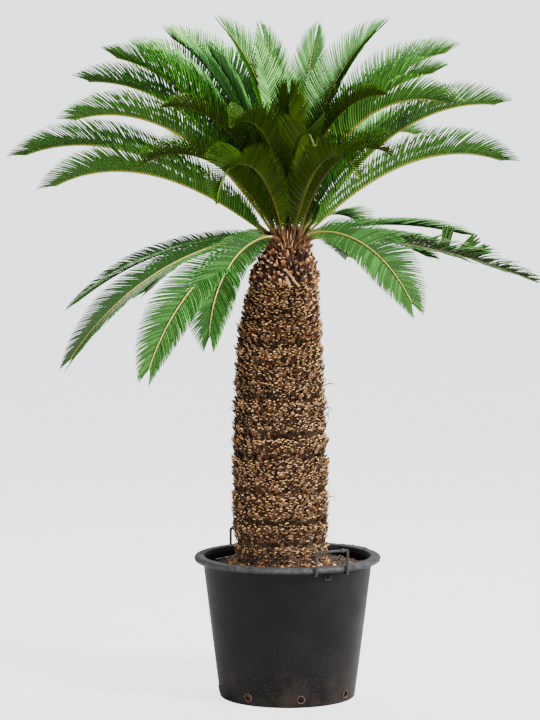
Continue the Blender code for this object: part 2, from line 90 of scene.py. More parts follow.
# Each growth ring ends in a ledge under its groove: how far below, how much of the groove's depth, how tall
LEDGE_DROP = 0.024
LEDGE_SHARE = 0.45
LEDGE_REACH = 0.014
TRUNK_LEAN = ((SOIL_TOP, -0.022), (0.85, -0.027), (1.25, -0.029), (1.45, -0.014), (1.572, 0.004))
STUB_START = 1.44
CROWN_TOP_RISE = 0.020
GAP = 0.0003
TINY = 0.000001
UP = Vector((0, 0, 1))

# Rib of a frond, and how it leaves the trunk
FOOT_ELEVATION = 80
FOOT_BEND = 0.060
FOOT_SPREAD_RADIUS = 0.060
FOOT_PITCH = 0.0150
FOOT_SPREAD_ROUNDS = 80
RIB_STEPS = 120
LEAF_FIRST_SHARE = 0.32
LEAF_GROWTH = 1.15
LEAF_TAPER_START = 0.6
LEAF_TAPER_LOSS = 0.45
LEAF_ANGLE = 70
LEAF_ANGLE_DROP = 28

# How each age of frond bends and spreads: power of the droop, leaf length, keel angle, bare petiole
Habit = collections.namedtuple("Habit", "power leaf keel bare")
HABITS = {
    "young": Habit(2.0, 0.130, 45, 0.095),
    "mature": Habit(1.9, 0.172, 52, 0.120),
    "old": Habit(0.8, 0.135, 20, 0.105),
}

# One row a frond: azimuth from +X seen from above, rise at the trunk, droop to the tip, length,
# swing of the azimuth, roll about the rib, and the share of the length at which its solid is split.
FROND_FIELDS = "habit azimuth rise droop length swing roll split"
Frond = collections.namedtuple("Frond", FROND_FIELDS, defaults=(0, 0, 0))
FRONDS = (
    # Young fronds in the middle, arching toward the viewer
    Frond("young", -118, 64, 150, 0.64, -4, 0, 0.56),
    Frond("young", -62, 69, 132, 0.60, 6, 0, 0.58),
    Frond("young", -38, 69, 102, 0.58),
    Frond("young", -84, 80, 125, 0.62, 10, 0, 0.60),
    Frond("young", -110, 78, 108, 0.66, -10, 0, 0.60),
    Frond("young", -92, 86, 50, 0.55),
    Frond("young", -50, 76, 80, 0.71, 10),
    Frond("young", -141, 69, 78, 0.72, -10),
    Frond("young", -145, 55, 92, 0.68, -10, 0, 0.60),
    # Young fronds standing up behind them
    Frond("young", 151, 85, 38, 0.77, 0, 25),
    Frond("young", 124, 86, 24, 0.71, 0, 25),
    Frond("young", 62, 82, 16, 0.71, 0, -24),
    Frond("young", 20, 81, 40, 0.79, 0, -35),
    # Young fronds arching away at the back
    Frond("young", 62, 66, 118, 0.62, 0, 0, 0.58),
    Frond("young", 97, 74, 112, 0.62, 0, 0, 0.60),
    Frond("young", 130, 62, 90, 0.62),
    # Mature fronds on the left
    Frond("mature", -172, 36, 64, 0.83),
    Frond("mature", 174, 39, 60, 0.98),
    Frond("mature", -165, 55, 73, 0.89),
    Frond("mature", 168, 60, 62, 0.93),
    Frond("mature", 172, 66, 53, 0.89),
    Frond("mature", 150, 67, 50, 0.91),
    Frond("mature", 138, 68, 44, 0.92),
    Frond("mature", 144, 75, 30, 0.72),
    # Mature fronds on the right
    Frond("mature", 26, 68, 58, 0.93),
    Frond("mature", 8, 72, 62, 0.79),
    Frond("mature", -8, 74, 91, 0.78),
    Frond("mature", 8, 55, 60, 0.88),
    Frond("mature", -12, 43, 62, 0.79),
    # Mature fronds at the back
    Frond("mature", 50, 50, 62, 0.82),
    Frond("mature", 76, 44, 66, 0.84),
    Frond("mature", 84, 62, 60, 0.86),
    Frond("mature", 106, 52, 68, 0.86),
    Frond("mature", 124, 44, 64, 0.82),
    # Old fronds round the foot of the crown, from the front right leftward
    Frond("old", -47, 26, 82, 0.63, 0, -35),
    Frond("old", -6, 5, 27, 0.82, 0, 18),
    Frond("old", 22, 19, 32, 0.63),
    Frond("old", 55, 45, 65, 0.43),
    Frond("old", 5, 15, 38, 0.57),
    Frond("old", 168, 8, 46, 0.77, 0, 14),
    Frond("old", -165, 4, 60, 0.86, 0, 18),
    Frond("old", -141, 0, 68, 0.74, 0, 28),
    Frond("old", -132, 17, 104, 0.55, 0, 20, 0.50),
    # Old fronds at the back
    Frond("old", 40, 12, 34, 0.62),
    Frond("old", 72, 14, 38, 0.70),
    Frond("old", 102, 10, 34, 0.72),
    Frond("old", 138, 8, 46, 0.70),
)

# Leaflets: shares of the length at which a blade has a section, and its half width and thickness there
LEAFLET_STATIONS = (0.0, 0.05, 0.36, 0.70, 0.90)
LEAFLET_SWELL = (0.95, 1.0, 0.95, 0.72, 0.45)
LEAFLET_BODY = (1.0, 0.9, 0.8, 0.6, 0.5)
# How much of a leaflet's thickness lies above and below its middle
BODY_ABOVE = 0.55
BODY_BELOW = 0.45
# How far a leaflet's edges curl under, as a share of its half width
LEAFLET_CURL = 0.55
LEAFLET_FIRST_GAP = 0.004
LEAFLET_LAST_SHARE = 0.994
# How far a leaflet strays along the rib, how much less even its keel is than its angle, the least and
# most of its length and width, and the share of its width that the shortest have
LEAFLET_STRAY = 0.0003
KEEL_UNEVENNESS = 1.5
LEAFLET_LENGTHS = (0.95, 1.0)
LEAFLET_WIDTHS = (0.92, 1.05)
LEAFLET_NARROWEST = 0.75
# Where a leaflet's foot sits on the rib: share of the rib's half width, and how far down
LEAFLET_ROOT_SIDE = 0.8
LEAFLET_ROOT_DROP = 0.0012
# Small leaflets begin this far below the full blade, and grow from a share of their length to all of it
# over a stretch
EARLY_START = 0.036
EARLY_SHARE = 0.35
EARLY_STRETCH = 0.060
# How leaflets are held, in degrees: opening at the foot, forward sweep and fall to the tip, tilt about
# their own length, unevenness, waves along the blade, then at the frond's tip how far they fold up and
# lie forward, and the share by which they get shorter
Carriage = collections.namedtuple("Carriage", "open sweep fall tilt jitter wave fold close shrink")
CARRIAGES = {
    "young": Carriage(5, 16, 10, 24, 0.5, 0.5, 30, 16, 0.85),
    "standing": Carriage(6, 16, 8, 16, 0.5, 0.6, -6, 40, -0.30),
    "mature": Carriage(7, 18, 14, 14, 0.6, 0.6, 12, 22, 0.18),
    "old": Carriage(6, 20, 10, 10, 0.6, 0.8, 0, 24, 0.10),
    "curled": Carriage(12, 44, 14, 10, 3.5, 2.5, 0, 10, 0.16),
}
# A young frond that droops less than this, in degrees, stands up and stays broad to its tip
STANDING_DROOP = 60
# One that droops more than this leans out, and the half turned away from the viewer is a vivid green
VIVID_DROOP = 30
TIP_START = 0.66
# How many tones darker the shaded half of a leaflet is
DARK_STEP = 2
# Lengths of the waves along a blade and their shares of its waviness
WAVES = ((0.13, 0.8), (0.047, 0.2))
# Fronds within this arc of azimuths that rise more than this stand behind the trunk, and are pale above
# with painted sunlight
BEHIND_ARC = (12, 168)
BEHIND_RISE = 40
# Four tones of each leaf colour, and how often a leaflet is of the second, third or fourth: on the upper
# fronds, on the old ones, and on the old ones past an azimuth that lie in shade
TONES = (0.36, 0.70, 1.05, 1.6)
TONE_SHARES = (0.35, 0.45, 0.20)
OLD_TONE_SHARES = (0.15, 0.45, 0.40)
SHADED_TONE_SHARES = (1.0, 0.0, 0.0)
SHADED_AZIMUTH = 150
# Dry tips on the old fronds: share of the frond where they begin, over how much they grow, and the most
DRY_START = 0.55
DRY_REACH = 0.25
DRY_MOST = 0.85
# First of each kind of look in the list of a leaflet's materials: four tones of each colour, then two more
# PALE is the paler colour of painted sunlight on the fronds behind.
UPPER, UNDER, PALE, VIVID, FOOT, TIP = 0, 4, 8, 12, 16, 17
# Half the width and half the depth of a rib at the trunk, and what each loses up to the tip
RIB_HALF_WIDTH = 0.0039
RIB_WIDTH_LOSS = 0.0023
RIB_HALF_DEPTH = 0.0042
RIB_DEPTH_LOSS = 0.0018
# Sides of a rib's section, clockwise from its left edge seen from the tip, in half widths and half depths
RIB_SECTION = ((-1, 0), (-0.6, 0.9), (0, 1.15), (0.6, 0.9), (1, 0), (0.6, -0.9), (0, -1.1), (-0.6, -0.9))
RIB_STATIONS = 26

# Tufts of stuck leaflets that stand up from one old frond: share of its length, lean toward its tip,
# turn of the whole tuft, reach, number of leaflets and their look
TUFT_FROND = 35
Tuft = collections.namedtuple("Tuft", "share lean turn reach count look")
TUFTS = (
    Tuft(0.60, -8, 0, 0.098, 5, UPPER + 1),
    Tuft(0.66, 30, 0, 0.100, 4, UPPER + 2),
    # This tuft takes the paler colour of painted sunlight.
    Tuft(0.69, 52, 0, 0.100, 4, PALE + 1),
)
TUFT_FAN = 9
TUFT_KEEL = 78
TUFT_KEEL_SPREAD = 3
TUFT_FOOT_SPREAD = 0.004
TUFT_LENGTHS = (0.88, 1.0)
# How much broader than others the stuck leaflets are
TUFT_BREADTH = 1.6
TUFT_CARRIAGE = Carriage(open=0, sweep=10, fall=-4, tilt=8, jitter=0, wave=0, fold=0, close=0, shrink=0)

# Camera: where it stands, how far it looks down and its lens on a 36 mm sensor
CAMERA_PLACE = (-0.061, -9.0, 1.87)
CAMERA_PITCH = 4.41
CAMERA_LENS = 130.05


def length(name, description, default):
    """A size that a user may change, in metres."""
    return bpy.props.FloatProperty(
        name=name, description=description, default=default, unit="LENGTH", precision=4
    )


def amount(name, description, default, unit="NONE"):
    return bpy.props.FloatProperty(name=name, description=description, default=default, unit=unit)


def count(name, description, default):
    return bpy.props.IntProperty(name=name, description=description, default=default, min=1)


def colour(name, description, default):
    return bpy.props.FloatVectorProperty(
        name=name, description=description, default=default, subtype="COLOR", size=3, min=0, max=1
    )


class PotSettings(bpy.types.PropertyGroup):
    height: length("Height", "Height of the pot to the top of its rim", POT_TOP.z)
    rim_radius: length("Rim radius", "Outer radius of the rolled rim", POT_TOP.x)
    rim_tall: length("Rim height", "Height of the rolled rim", 0.022)
    neck_radius: length("Neck radius", "Outer radius of the wall under the rim", 0.2945)
    foot_radius: length("Foot radius", "Outer radius of the wall at the floor", 0.2365)
    wall: length("Wall", "Thickness of the wall and floor", 0.005)
    foot_round: length("Foot rounding", "Radius of the edge round the floor", 0.006)
    hole_radius: length("Hole radius", "Radius of a drainage hole", 0.013)
    hole_height: length("Hole height", "Height of the drainage holes", 0.030)
    hole_count: count("Holes", "Number of drainage holes", 8)
    plastic: colour("Plastic", "Charcoal plastic of the pot", (0.0056, 0.0057, 0.0074))
    dust: colour("Dust", "Dried soil dusted on the plastic", (0.06, 0.042, 0.028))
    # Lighter grey of the scuffed rim and grips; on the rim it is also a painted highlight.
    worn_and_highlight: colour("Worn plastic", "Scuffed rim and grip edges", (0.070, 0.075, 0.086))
    collar: colour("Hole edge", "Soil rubbed into the holes' edges", (0.11, 0.055, 0.025))


class GripSettings(bpy.types.PropertyGroup):
    width: length("Width", "Distance between the legs of a grip", 0.120)
    bar_height: length("Bar height", "Height of the bar of a grip", 0.550)
    bar_size: length("Bar size", "Thickness of the bar and legs", 0.0095)
    bulge_size: length("Knuckle size", "Thickness of the knuckles at the bar's ends", 0.015)
    leg_radius: length("Leg radius", "Distance of the legs from the pot's axis", 0.3264)
    hook_radius: length("Hook radius", "How far in the hooks reach under the rim", 0.305)
    hook_size: length("Hook size", "Thickness of the hooks", 0.009)


class SoilSettings(bpy.types.PropertyGroup):
    relief: length("Relief", "Height of the lumps of the soil's top", 0.006)
    crumbs: count("Crumbs", "Number of loose crumbs on the soil", 1500)
    specks: count("Specks", "Number of pale specks on the soil", 70)
    earth: colour("Earth", "Moist potting soil", (0.030, 0.019, 0.013))
    bark_bit: colour("Bark bits", "Fallen bits of bark", (0.21, 0.12, 0.062))
    speck: colour("Specks", "Pale mineral specks", (0.72, 0.70, 0.66))


class TrunkSettings(bpy.types.PropertyGroup):
    scales: count("Scales", "Number of old leaf bases round the trunk", 8600)
    scale_width: length("Scale width", "Width of an old leaf base", 0.0125)
    scale_depth: length("Scale thickness", "Thickness of an old leaf base", 0.0028)
    scale_length: length("Scale length", "Length of an old leaf base", 0.026)
    stubs: count("Stubs", "Number of cut petioles under the crown", 190)
    spikes: count("Spikes", "Number of woolly scale leaves among the petioles", 330)
    litter: count("Litter", "Number of fallen scales round the trunk's foot", 420)
    dark: colour("Dark bark", "Shaded bark between the scales", (0.012, 0.008, 0.006))
    brown: colour("Brown bark", "Brown old leaf bases", (0.17, 0.092, 0.05))
    tan: colour("Tan bark", "Dry tan leaf bases", (0.80, 0.455, 0.21))
    orange: colour("Orange bark", "Fresh orange leaf bases in the grooves", (0.46, 0.19, 0.07))
    grey: colour("Grey bark", "Weathered grey leaf bases", (0.50, 0.36, 0.24))
    cream: colour("Cut face", "Cream faces of the cut petioles", (0.75, 0.5, 0.28))
    plum: colour("Plum bark", "Purple-brown stubs under the crown", (0.1, 0.042, 0.04))


class FoliageSettings(bpy.types.PropertyGroup):
    young_pitch: length("Young pitch", "Distance between young leaflets of one side", 0.0088)
    mature_pitch: length("Mature pitch", "Distance between mature leaflets of one side", 0.0094)
    old_pitch: length("Old pitch", "Distance between old leaflets of one side", 0.0080)
    young_width: length("Young width", "Width of a young leaflet", 0.0078)
    mature_width: length("Mature width", "Width of a mature leaflet", 0.0091)
    old_width: length("Old width", "Width of an old leaflet", 0.0094)
    thickness: length("Thickness", "Thickness of a leaflet in its middle", 0.0013)
    young_upper: colour("Young upper side", "Upper side of the young leaflets", (0.043, 0.120, 0.0003))
    young_under: colour("Young under side", "Under side of the young leaflets", (0.028, 0.060, 0.0002))
    young_rib: colour("Young rib", "Top of the young fronds' ribs", (0.60, 0.54, 0.12))
    rib_shade: colour("Young rib below", "Sides and under side of the young ribs", (0.085, 0.055, 0.004))
    mature_upper: colour("Mature upper side", "Upper side of the mature leaflets", (0.060, 0.31, 0.020))
    mature_under: colour("Mature under side", "Under side of the mature leaflets", (0.060, 0.19, 0.016))
    mature_rib: colour("Mature rib", "Rib of the mature fronds", (0.26, 0.24, 0.02))
    # Painted light: a paler upper side for the fronds behind, as if sunlit.
    pale_upper: colour("Pale upper side", "Sunlit upper side of the fronds behind", (0.20, 0.54, 0.15))
    vivid_upper: colour(
        "Vivid upper side", "Upper side of the edges of two standing fronds", (0.006, 0.045, 0.0006)
    )
    old_upper: colour("Old upper side", "Upper side of the old leaflets", (0.062, 0.23, 0.038))
    old_under: colour("Old under side", "Under side of the old leaflets", (0.030, 0.085, 0.012))
    old_rib: colour("Old rib", "Rib of the old fronds", (0.56, 0.50, 0.12))
    old_tip: colour("Dry tip", "Dry tips of the old fronds", (0.50, 0.52, 0.46))
    petiole_foot: colour("Petiole foot", "Woolly foot of a petiole", (0.075, 0.036, 0.014))


class StageSettings(bpy.types.PropertyGroup):
    floor: colour("Floor", "Plain pale floor", (0.86, 0.86, 0.85))
    sky: colour("Surroundings", "Even light from all round", (0.95, 0.97, 1.0))
    sky_strength: amount("Even light", "Strength of the light from all round", 0.42)
    shown_strength: amount("Backdrop", "How bright the floor and backdrop show", 4.2)
    shadow_share: amount("Shadow", "Share of the floor's own shading that shows", 0.45)
    key_power: amount("Key light", "Power of the main lamp", 1250, "POWER")
    fill_power: amount("Fill light", "Power of the lamp on the left", 190, "POWER")
    top_power: amount("Top light", "Power of the lamp above and behind", 450, "POWER")


# Selection and finishing

def deselect():
    if bpy.context.object and bpy.context.object.mode != "OBJECT":
        bpy.ops.object.mode_set(mode="OBJECT")
    bpy.ops.object.select_all(action="DESELECT")


def take(*pieces):
    """Selects only these pieces, the first one active."""
    deselect()
    for piece in pieces:
        piece.select_set(True)
    bpy.context.view_layer.objects.active = pieces[0]


def edit(select="SELECT"):
    bpy.ops.object.mode_set(mode="EDIT")
    bpy.ops.mesh.select_mode(type="VERT")
    bpy.ops.mesh.select_all(action=select)


def leave_edit():
    bpy.ops.object.mode_set(mode="OBJECT")


def join(pieces):
    """One object of several, which is the first of them."""
    take(*pieces)
    bpy.ops.object.join()
    return bpy.context.object


def apply_modifier(piece, kind, **settings):
    take(piece)
    modifier = piece.modifiers.new(kind.lower(), kind)
    for key, value in settings.items():
        setattr(modifier, key, value)
    bpy.ops.object.modifier_apply(modifier=modifier.name)


def set_materials(piece, materials):
    piece.data.materials.clear()
    for material in materials:
        piece.data.materials.append(material)


def finish_piece(piece, name, nodes=()):
    """Puts the piece's place into its mesh, names it, and hangs it on the body in place of its nodes."""
    take(piece)
    bpy.ops.object.transform_apply(location=True, rotation=True, scale=True)
    piece.name = name
    piece.data.name = name
    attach(piece, BODY)
    if nodes:
        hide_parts(*nodes)
    return piece


def mesh_object(name, points, faces, materials, face_looks):
    """An object from arrays of points, faces and each face's material number."""
    mesh = bpy.data.meshes.new(name)
    mesh.from_pydata(points.tolist(), [], faces)
    for material in materials:
        mesh.materials.append(material)
    mesh.polygons.foreach_set("material_index", np.asarray(face_looks, dtype=np.int32))
    mesh.update()
    piece = bpy.data.objects.new(name, mesh)
    bpy.context.scene.collection.objects.link(piece)
    return piece


def nodes_named(*starts):
    return sorted(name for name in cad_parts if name.startswith(starts))


# Material parts

def connect(tree, node, sockets):
    """Links each socket that is given an output, and sets any other value on it."""
    for key, value in sockets.items():
        socket = node.inputs[int(key[1:]) if key[0] == "_" else key.replace("_", " ")]
        if isinstance(value, bpy.types.NodeSocket):
            tree.links.new(value, socket)
        elif socket.type == "RGBA":
            socket.default_value = (*value, 1)
        else:
            socket.default_value = value


def add_node(tree, kind, settings=None, **sockets):
    """A shader node with its settings and its sockets, each given by name or as _ and its number."""
    made = tree.nodes.new("ShaderNode" + kind)
    for key, value in (settings or {}).items():
        setattr(made, key, value)
    connect(tree, made, sockets)
    return made


def new_group(name, numbers, outputs):
    """An empty shader group that takes a Vector and the named numbers, and its two end nodes."""
    tree = bpy.data.node_groups.new(name, "ShaderNodeTree")
    tree.interface.new_socket("Vector", in_out="INPUT", socket_type="NodeSocketVector")
    for socket, default in numbers.items():
        made = tree.interface.new_socket(socket, in_out="INPUT", socket_type="NodeSocketFloat")
        made.default_value = default
    for socket in outputs:
        tree.interface.new_socket(socket, in_out="OUTPUT", socket_type="NodeSocketFloat")
    return tree, tree.nodes.new("NodeGroupInput").outputs, tree.nodes.new("NodeGroupOutput").inputs


def make_spots(name):
    """A mask of soft-edged patches: noise cut off between two values."""
    numbers = {"Scale": 10.0, "Detail": 4.0, "Low": 0.5, "High": 0.6}
    tree, given, out = new_group(name, numbers, ["Mask"])
    noise = add_node(
        tree, "TexNoise", Vector=given["Vector"], Scale=given["Scale"], Detail=given["Detail"]
    )
    cut = add_node(
        tree, "MapRange", Value=noise.outputs[0], From_Min=given["Low"], From_Max=given["High"]
    )
    tree.links.new(cut.outputs[0], out["Mask"])
    return tree


def make_band(name):
    """A mask of heights: 1 at and past one height, falling to 0 at another."""
    tree, given, out = new_group(name, {"Empty": 0.0, "Full": 1.0}, ["Mask"])
    parts = add_node(tree, "SeparateXYZ", Vector=given["Vector"])
    ramp = add_node(
        tree, "MapRange", Value=parts.outputs["Z"], From_Min=given["Empty"], From_Max=given["Full"]
    )
    tree.links.new(ramp.outputs[0], out["Mask"])
    return tree


def make_grain(name):
    """A fine moulded grain: a height for a Bump node and a small change of roughness."""
    numbers = {"Scale": 400.0, "Roughness": 0.45, "Change": 0.15}
    tree, given, out = new_group(name, numbers, ["Height", "Roughness"])
    fine = add_node(tree, "TexNoise", Vector=given["Vector"], Scale=given["Scale"], Detail=3.0)
    broad = add_node(tree, "TexNoise", Vector=given["Vector"], Scale=9.0, Detail=5.0)
    change = multiply(tree, broad.outputs[0], given["Change"])
    total = add_node(tree, "Math", {"operation": "ADD"}, _0=change, _1=given["Roughness"])
    tree.links.new(fine.outputs[0], out["Height"])
    tree.links.new(total.outputs[0], out["Roughness"])
    return tree


GROUP_MAKERS = {"spots": make_spots, "band": make_band, "grain": make_grain}


def use_group(tree, name, **sockets):
    """Outputs of a shader group, which is made when it is first used."""
    made = tree.nodes.new("ShaderNodeGroup")
    made.node_tree = bpy.data.node_groups.get(name) or GROUP_MAKERS[name](name)
    connect(tree, made, sockets)
    return made.outputs


def patches(tree, place, scale, low, high, detail=4.0):
    """Mask of soft-edged patches."""
    sockets = {"Scale": scale, "Detail": detail, "Low": low, "High": high}
    return use_group(tree, "spots", Vector=place, **sockets)["Mask"]


def between(tree, place, empty, full):
    """Mask that grows from one height to another."""
    return use_group(tree, "band", Vector=place, Empty=empty, Full=full)["Mask"]


def mix_colours(tree, mask, first, second):
    mixed = add_node(tree, "Mix", {"data_type": "RGBA"}, _0=mask, _6=first, _7=second)
    return mixed.outputs[2]


def multiply(tree, first, second):
    return add_node(tree, "Math", {"operation": "MULTIPLY"}, _0=first, _1=second).outputs[0]


def plain_material(name, base, roughness, gloss=0.5):
    """A material of one base colour, for the small pieces that colours are dealt out to."""
    if name in bpy.data.materials:
        return bpy.data.materials[name]
    material = bpy.data.materials.new(name)
    material.use_nodes = True
    shader = material.node_tree.nodes["Principled BSDF"]
    shader.inputs["Base Color"].default_value = (*base, 1)
    shader.inputs["Roughness"].default_value = roughness
    shader.inputs["Specular IOR Level"].default_value = gloss
    material.diffuse_color = (*base, 1)
    return material


def material_tree(name):
    """A new material with its node tree, its Principled shader and its Object coordinates."""
    material = bpy.data.materials.new(name)
    material.use_nodes = True
    tree = material.node_tree
    place = add_node(tree, "TexCoord").outputs["Object"]
    return material, tree, tree.nodes["Principled BSDF"], place


def finish_surface(parts, base, scale, roughness, change, strength, depth):
    """Links the base colour of a material, and a grain of its own scale to its roughness and relief."""
    material, tree, shader, place = parts
    tree.links.new(base, shader.inputs["Base Color"])
    grain = use_group(tree, "grain", Vector=place, Scale=scale, Roughness=roughness, Change=change)
    tree.links.new(grain["Roughness"], shader.inputs["Roughness"])
    bump = add_node(tree, "Bump", Height=grain["Height"], Strength=strength, Distance=depth)
    tree.links.new(bump.outputs[0], shader.inputs["Normal"])
    return material


def tone(base, factor):
    return tuple(min(1.0, part * factor) for part in base)


def charcoal_plastic(pot):
    """Moulded pot plastic: cloudy charcoal, dusty near the floor, grey on the rim from scuffs and a painted
    highlight.
    """
    parts = material_tree("charcoal_plastic")
    _, tree, shader, place = parts
    cloud = patches(tree, place, scale=7.0, low=0.35, high=0.7)
    base = mix_colours(tree, cloud, tone(pot.plastic, 0.8), tone(pot.plastic, 1.35))
    haze = patches(tree, place, scale=14.0, low=0.42, high=0.72, detail=8.0)
    haze = multiply(tree, haze, between(tree, place, empty=0.19, full=0.015))
    base = mix_colours(tree, multiply(tree, haze, 0.32), base, pot.dust)
    flecks = patches(tree, place, scale=210.0, low=0.62, high=0.68)
    flecks = multiply(tree, flecks, between(tree, place, empty=0.30, full=0.0))
    base = mix_colours(tree, flecks, base, pot.dust)
    sparse = patches(tree, place, scale=160.0, low=0.69, high=0.73)
    base = mix_colours(tree, multiply(tree, sparse, 0.35), base, pot.dust)
    # Scuffs and a painted highlight: most of the rim is made a lighter grey.
    scuffs_and_highlight = patches(tree, place, scale=60.0, low=0.12, high=0.68, detail=8.0)
    below_rim = pot.height - pot.rim_tall * 1.1
    mid_rim = pot.height - pot.rim_tall * 0.5
    scuffs_and_highlight = multiply(tree, scuffs_and_highlight, between(tree, place, empty=below_rim, full=mid_rim))
    base = mix_colours(tree, scuffs_and_highlight, base, pot.worn_and_highlight)
    shader.inputs["Specular IOR Level"].default_value = 0.11
    return finish_surface(parts, base, scale=520, roughness=0.40, change=0.22, strength=0.25, depth=0.0006)


def grip_plastic(pot):
    """The pot's plastic, rubbed grey along the grips, with soil caught in it."""
    parts = material_tree("grip_plastic")
    _, tree, _, place = parts
    rub = patches(tree, place, scale=90.0, low=0.42, high=0.60, detail=6.0)
    base = mix_colours(tree, rub, pot.plastic, tone(pot.worn_and_highlight, 0.24))
    soil = patches(tree, place, scale=150.0, low=0.60, high=0.66)
    base = mix_colours(tree, multiply(tree, soil, 0.3), base, pot.dust)
    return finish_surface(parts, base, scale=350, roughness=0.42, change=0.25, strength=0.35, depth=0.0008)


def moist_soil(soil):
    """Dark potting soil with lighter fibres in it."""
    parts = material_tree("moist_soil")
    _, tree, _, place = parts
    lumps = patches(tree, place, scale=60.0, low=0.4, high=0.65, detail=8.0)
    base = mix_colours(tree, lumps, tone(soil.earth, 0.6), tone(soil.earth, 1.9))
    bits = patches(tree, place, scale=170.0, low=0.62, high=0.67)
    base = mix_colours(tree, multiply(tree, bits, 0.7), base, soil.bark_bit)
    return finish_surface(parts, base, scale=120, roughness=0.80, change=0.20, strength=1, depth=0.004)


def inner_bark(trunk):
    """Matted bark between the old leaf bases, in patches of brown and of a dark colour that is painted
    shade.
    """
    parts = material_tree("inner_bark")
    _, tree, _, place = parts
    mats = patches(tree, place, scale=85.0, low=0.42, high=0.66, detail=6.0)
    base = mix_colours(tree, mats, trunk.dark, tone(trunk.brown, 0.7))
    return finish_surface(parts, base, scale=160, roughness=0.85, change=0.10, strength=1, depth=0.004)


def stained_plastic(pot):
    """Plastic with soil rubbed into it, round the drainage holes."""
    material, tree, shader, place = material_tree("stained_hole_edge")
    stain = patches(tree, place, scale=130.0, low=0.38, high=0.6)
    base = mix_colours(tree, stain, tone(pot.plastic, 1.6), pot.collar)
    tree.links.new(base, shader.inputs["Base Color"])
    shader.inputs["Roughness"].default_value = 0.75
    return material


# Turned and swept pieces

def turned(name, profile, segments):
    """A closed round piece: a filled circle extruded through each (radius, height) of the profile."""
    deselect()
    radius, height = profile[0]
    bpy.ops.mesh.primitive_circle_add(
        vertices=segments, radius=radius, fill_type="NGON", location=(0, 0, height)
    )
    piece = bpy.context.object
    piece.name = name
    edit()
    for after_radius, after_height in profile[1:]:
        bpy.ops.mesh.extrude_region_move(
            TRANSFORM_OT_translate={"value": (0, 0, after_height - height)}
        )
        share = after_radius / radius
        bpy.ops.transform.resize(value=(share, share, 1), center_override=(0, 0, after_height))
        radius, height = after_radius, after_height
    bpy.ops.mesh.select_all(action="SELECT")
    bpy.ops.mesh.normals_make_consistent(inside=False)
    leave_edit()
    return piece


def swept_tube(name, points, radii, sides):
    """A closed tube along the points, with a radius at each, made from a bevelled curve."""
    data = bpy.data.curves.new(name, "CURVE")
    data.dimensions = "3D"
    data.bevel_depth = 1.0
    data.bevel_resolution = max(0, sides // 4 - 1)
    data.use_fill_caps = True
    line = data.splines.new("POLY")
    line.points.add(len(points) - 1)
    for knot, point, radius in zip(line.points, points, radii):
        knot.co = (*point, 1)
        knot.radius = radius
    tube = bpy.data.objects.new(name, data)
    bpy.context.scene.collection.objects.link(tube)
    take(tube)
    bpy.ops.object.convert(target="MESH")
    tube = bpy.context.object
    edit()
    bpy.ops.mesh.remove_doubles(threshold=0.00005)
    bpy.ops.mesh.normals_make_consistent(inside=False)
    leave_edit()
    return tube


def turn_direction(degrees):
    """Level direction at an angle from +X seen from above."""
    angle = math.radians(degrees)
    return Vector((math.cos(angle), math.sin(angle), 0))


def rotation_to(direction):
    """Turn that points a primitive's Z axis in the direction."""
    return direction.to_track_quat("Z", "Y").to_euler()


# Pot

HOLE_FIRST_ANGLE = -124.3
HOLE_SEGMENTS = 32
CUTTER_DEPTH = 0.040
POT_SEGMENTS = 144
# Where the wall has rings of points: share of the floor's radius, then shares of the wall's height
FLOOR_SHARE = 0.45
WALL_SHARES = (0.25, 0.5, 0.75, 0.93, 0.985)
FOOT_STEPS = 3
RIM_STEPS = 10
# Small steps where the wall meets the rim, and on the rim's flat top
NECK_STEP = 0.001
RIM_FLAT = 0.002
COLLAR_RADIUS = 0.0024
COLLAR_UNEVENNESS = 0.0006


def wall_radius(pot, height):
    neck = pot.height - pot.rim_tall
    return pot.foot_radius + (pot.neck_radius - pot.foot_radius) * height / neck


def pot_profile(pot):
    """Radius and height from the middle of the floor, up the outside, round the rim and down inside."""
    neck = pot.height - pot.rim_tall
    rim_round = pot.rim_tall / 2
    flat_foot = pot.foot_radius - pot.foot_round
    profile = [(pot.foot_radius * FLOOR_SHARE, 0), (flat_foot, 0)]
    for step in range(1, FOOT_STEPS + 1):
        angle = math.pi / 2 * step / FOOT_STEPS
        radius = flat_foot + pot.foot_round * math.sin(angle)
        profile.append((radius, pot.foot_round * (1 - math.cos(angle))))
    for share in WALL_SHARES:
        profile.append((wall_radius(pot, neck * share), neck * share))
    profile.append((pot.neck_radius + NECK_STEP, neck - NECK_STEP))
    profile.append((pot.rim_radius - rim_round - RIM_FLAT, neck))
    for step in range(RIM_STEPS + 1):
        angle = math.pi * (step / RIM_STEPS - 0.5)
        radius = pot.rim_radius - rim_round + rim_round * math.cos(angle)
        profile.append((radius, neck + rim_round + rim_round * math.sin(angle)))
    inner = pot.neck_radius - pot.wall
    profile.append((pot.neck_radius, pot.height))
    profile.append((inner + NECK_STEP, pot.height - RIM_FLAT))
    profile.append((inner, pot.height - pot.wall))
    profile.append((inner, neck))
    profile.append((wall_radius(pot, pot.wall) - pot.wall, pot.wall))
    return profile


def hole_places(pot):
    """Middle and outward direction of each drainage hole."""
    places = []
    for k in range(pot.hole_count):
        outward = turn_direction(HOLE_FIRST_ANGLE + k * 360 / pot.hole_count)
        middle = outward * wall_radius(pot, pot.hole_height) + UP * pot.hole_height
        places.append((middle, outward))
    return places


def make_hole_cutter(pot):
    """Rods that cut all the drainage holes at once."""
    cutters = []
    for middle, outward in hole_places(pot):
        deselect()
        bpy.ops.mesh.primitive_cylinder_add(
            vertices=HOLE_SEGMENTS, radius=pot.hole_radius, depth=CUTTER_DEPTH,
            location=middle, rotation=rotation_to(outward),
        )
        cutters.append(bpy.context.object)
    return join(cutters)


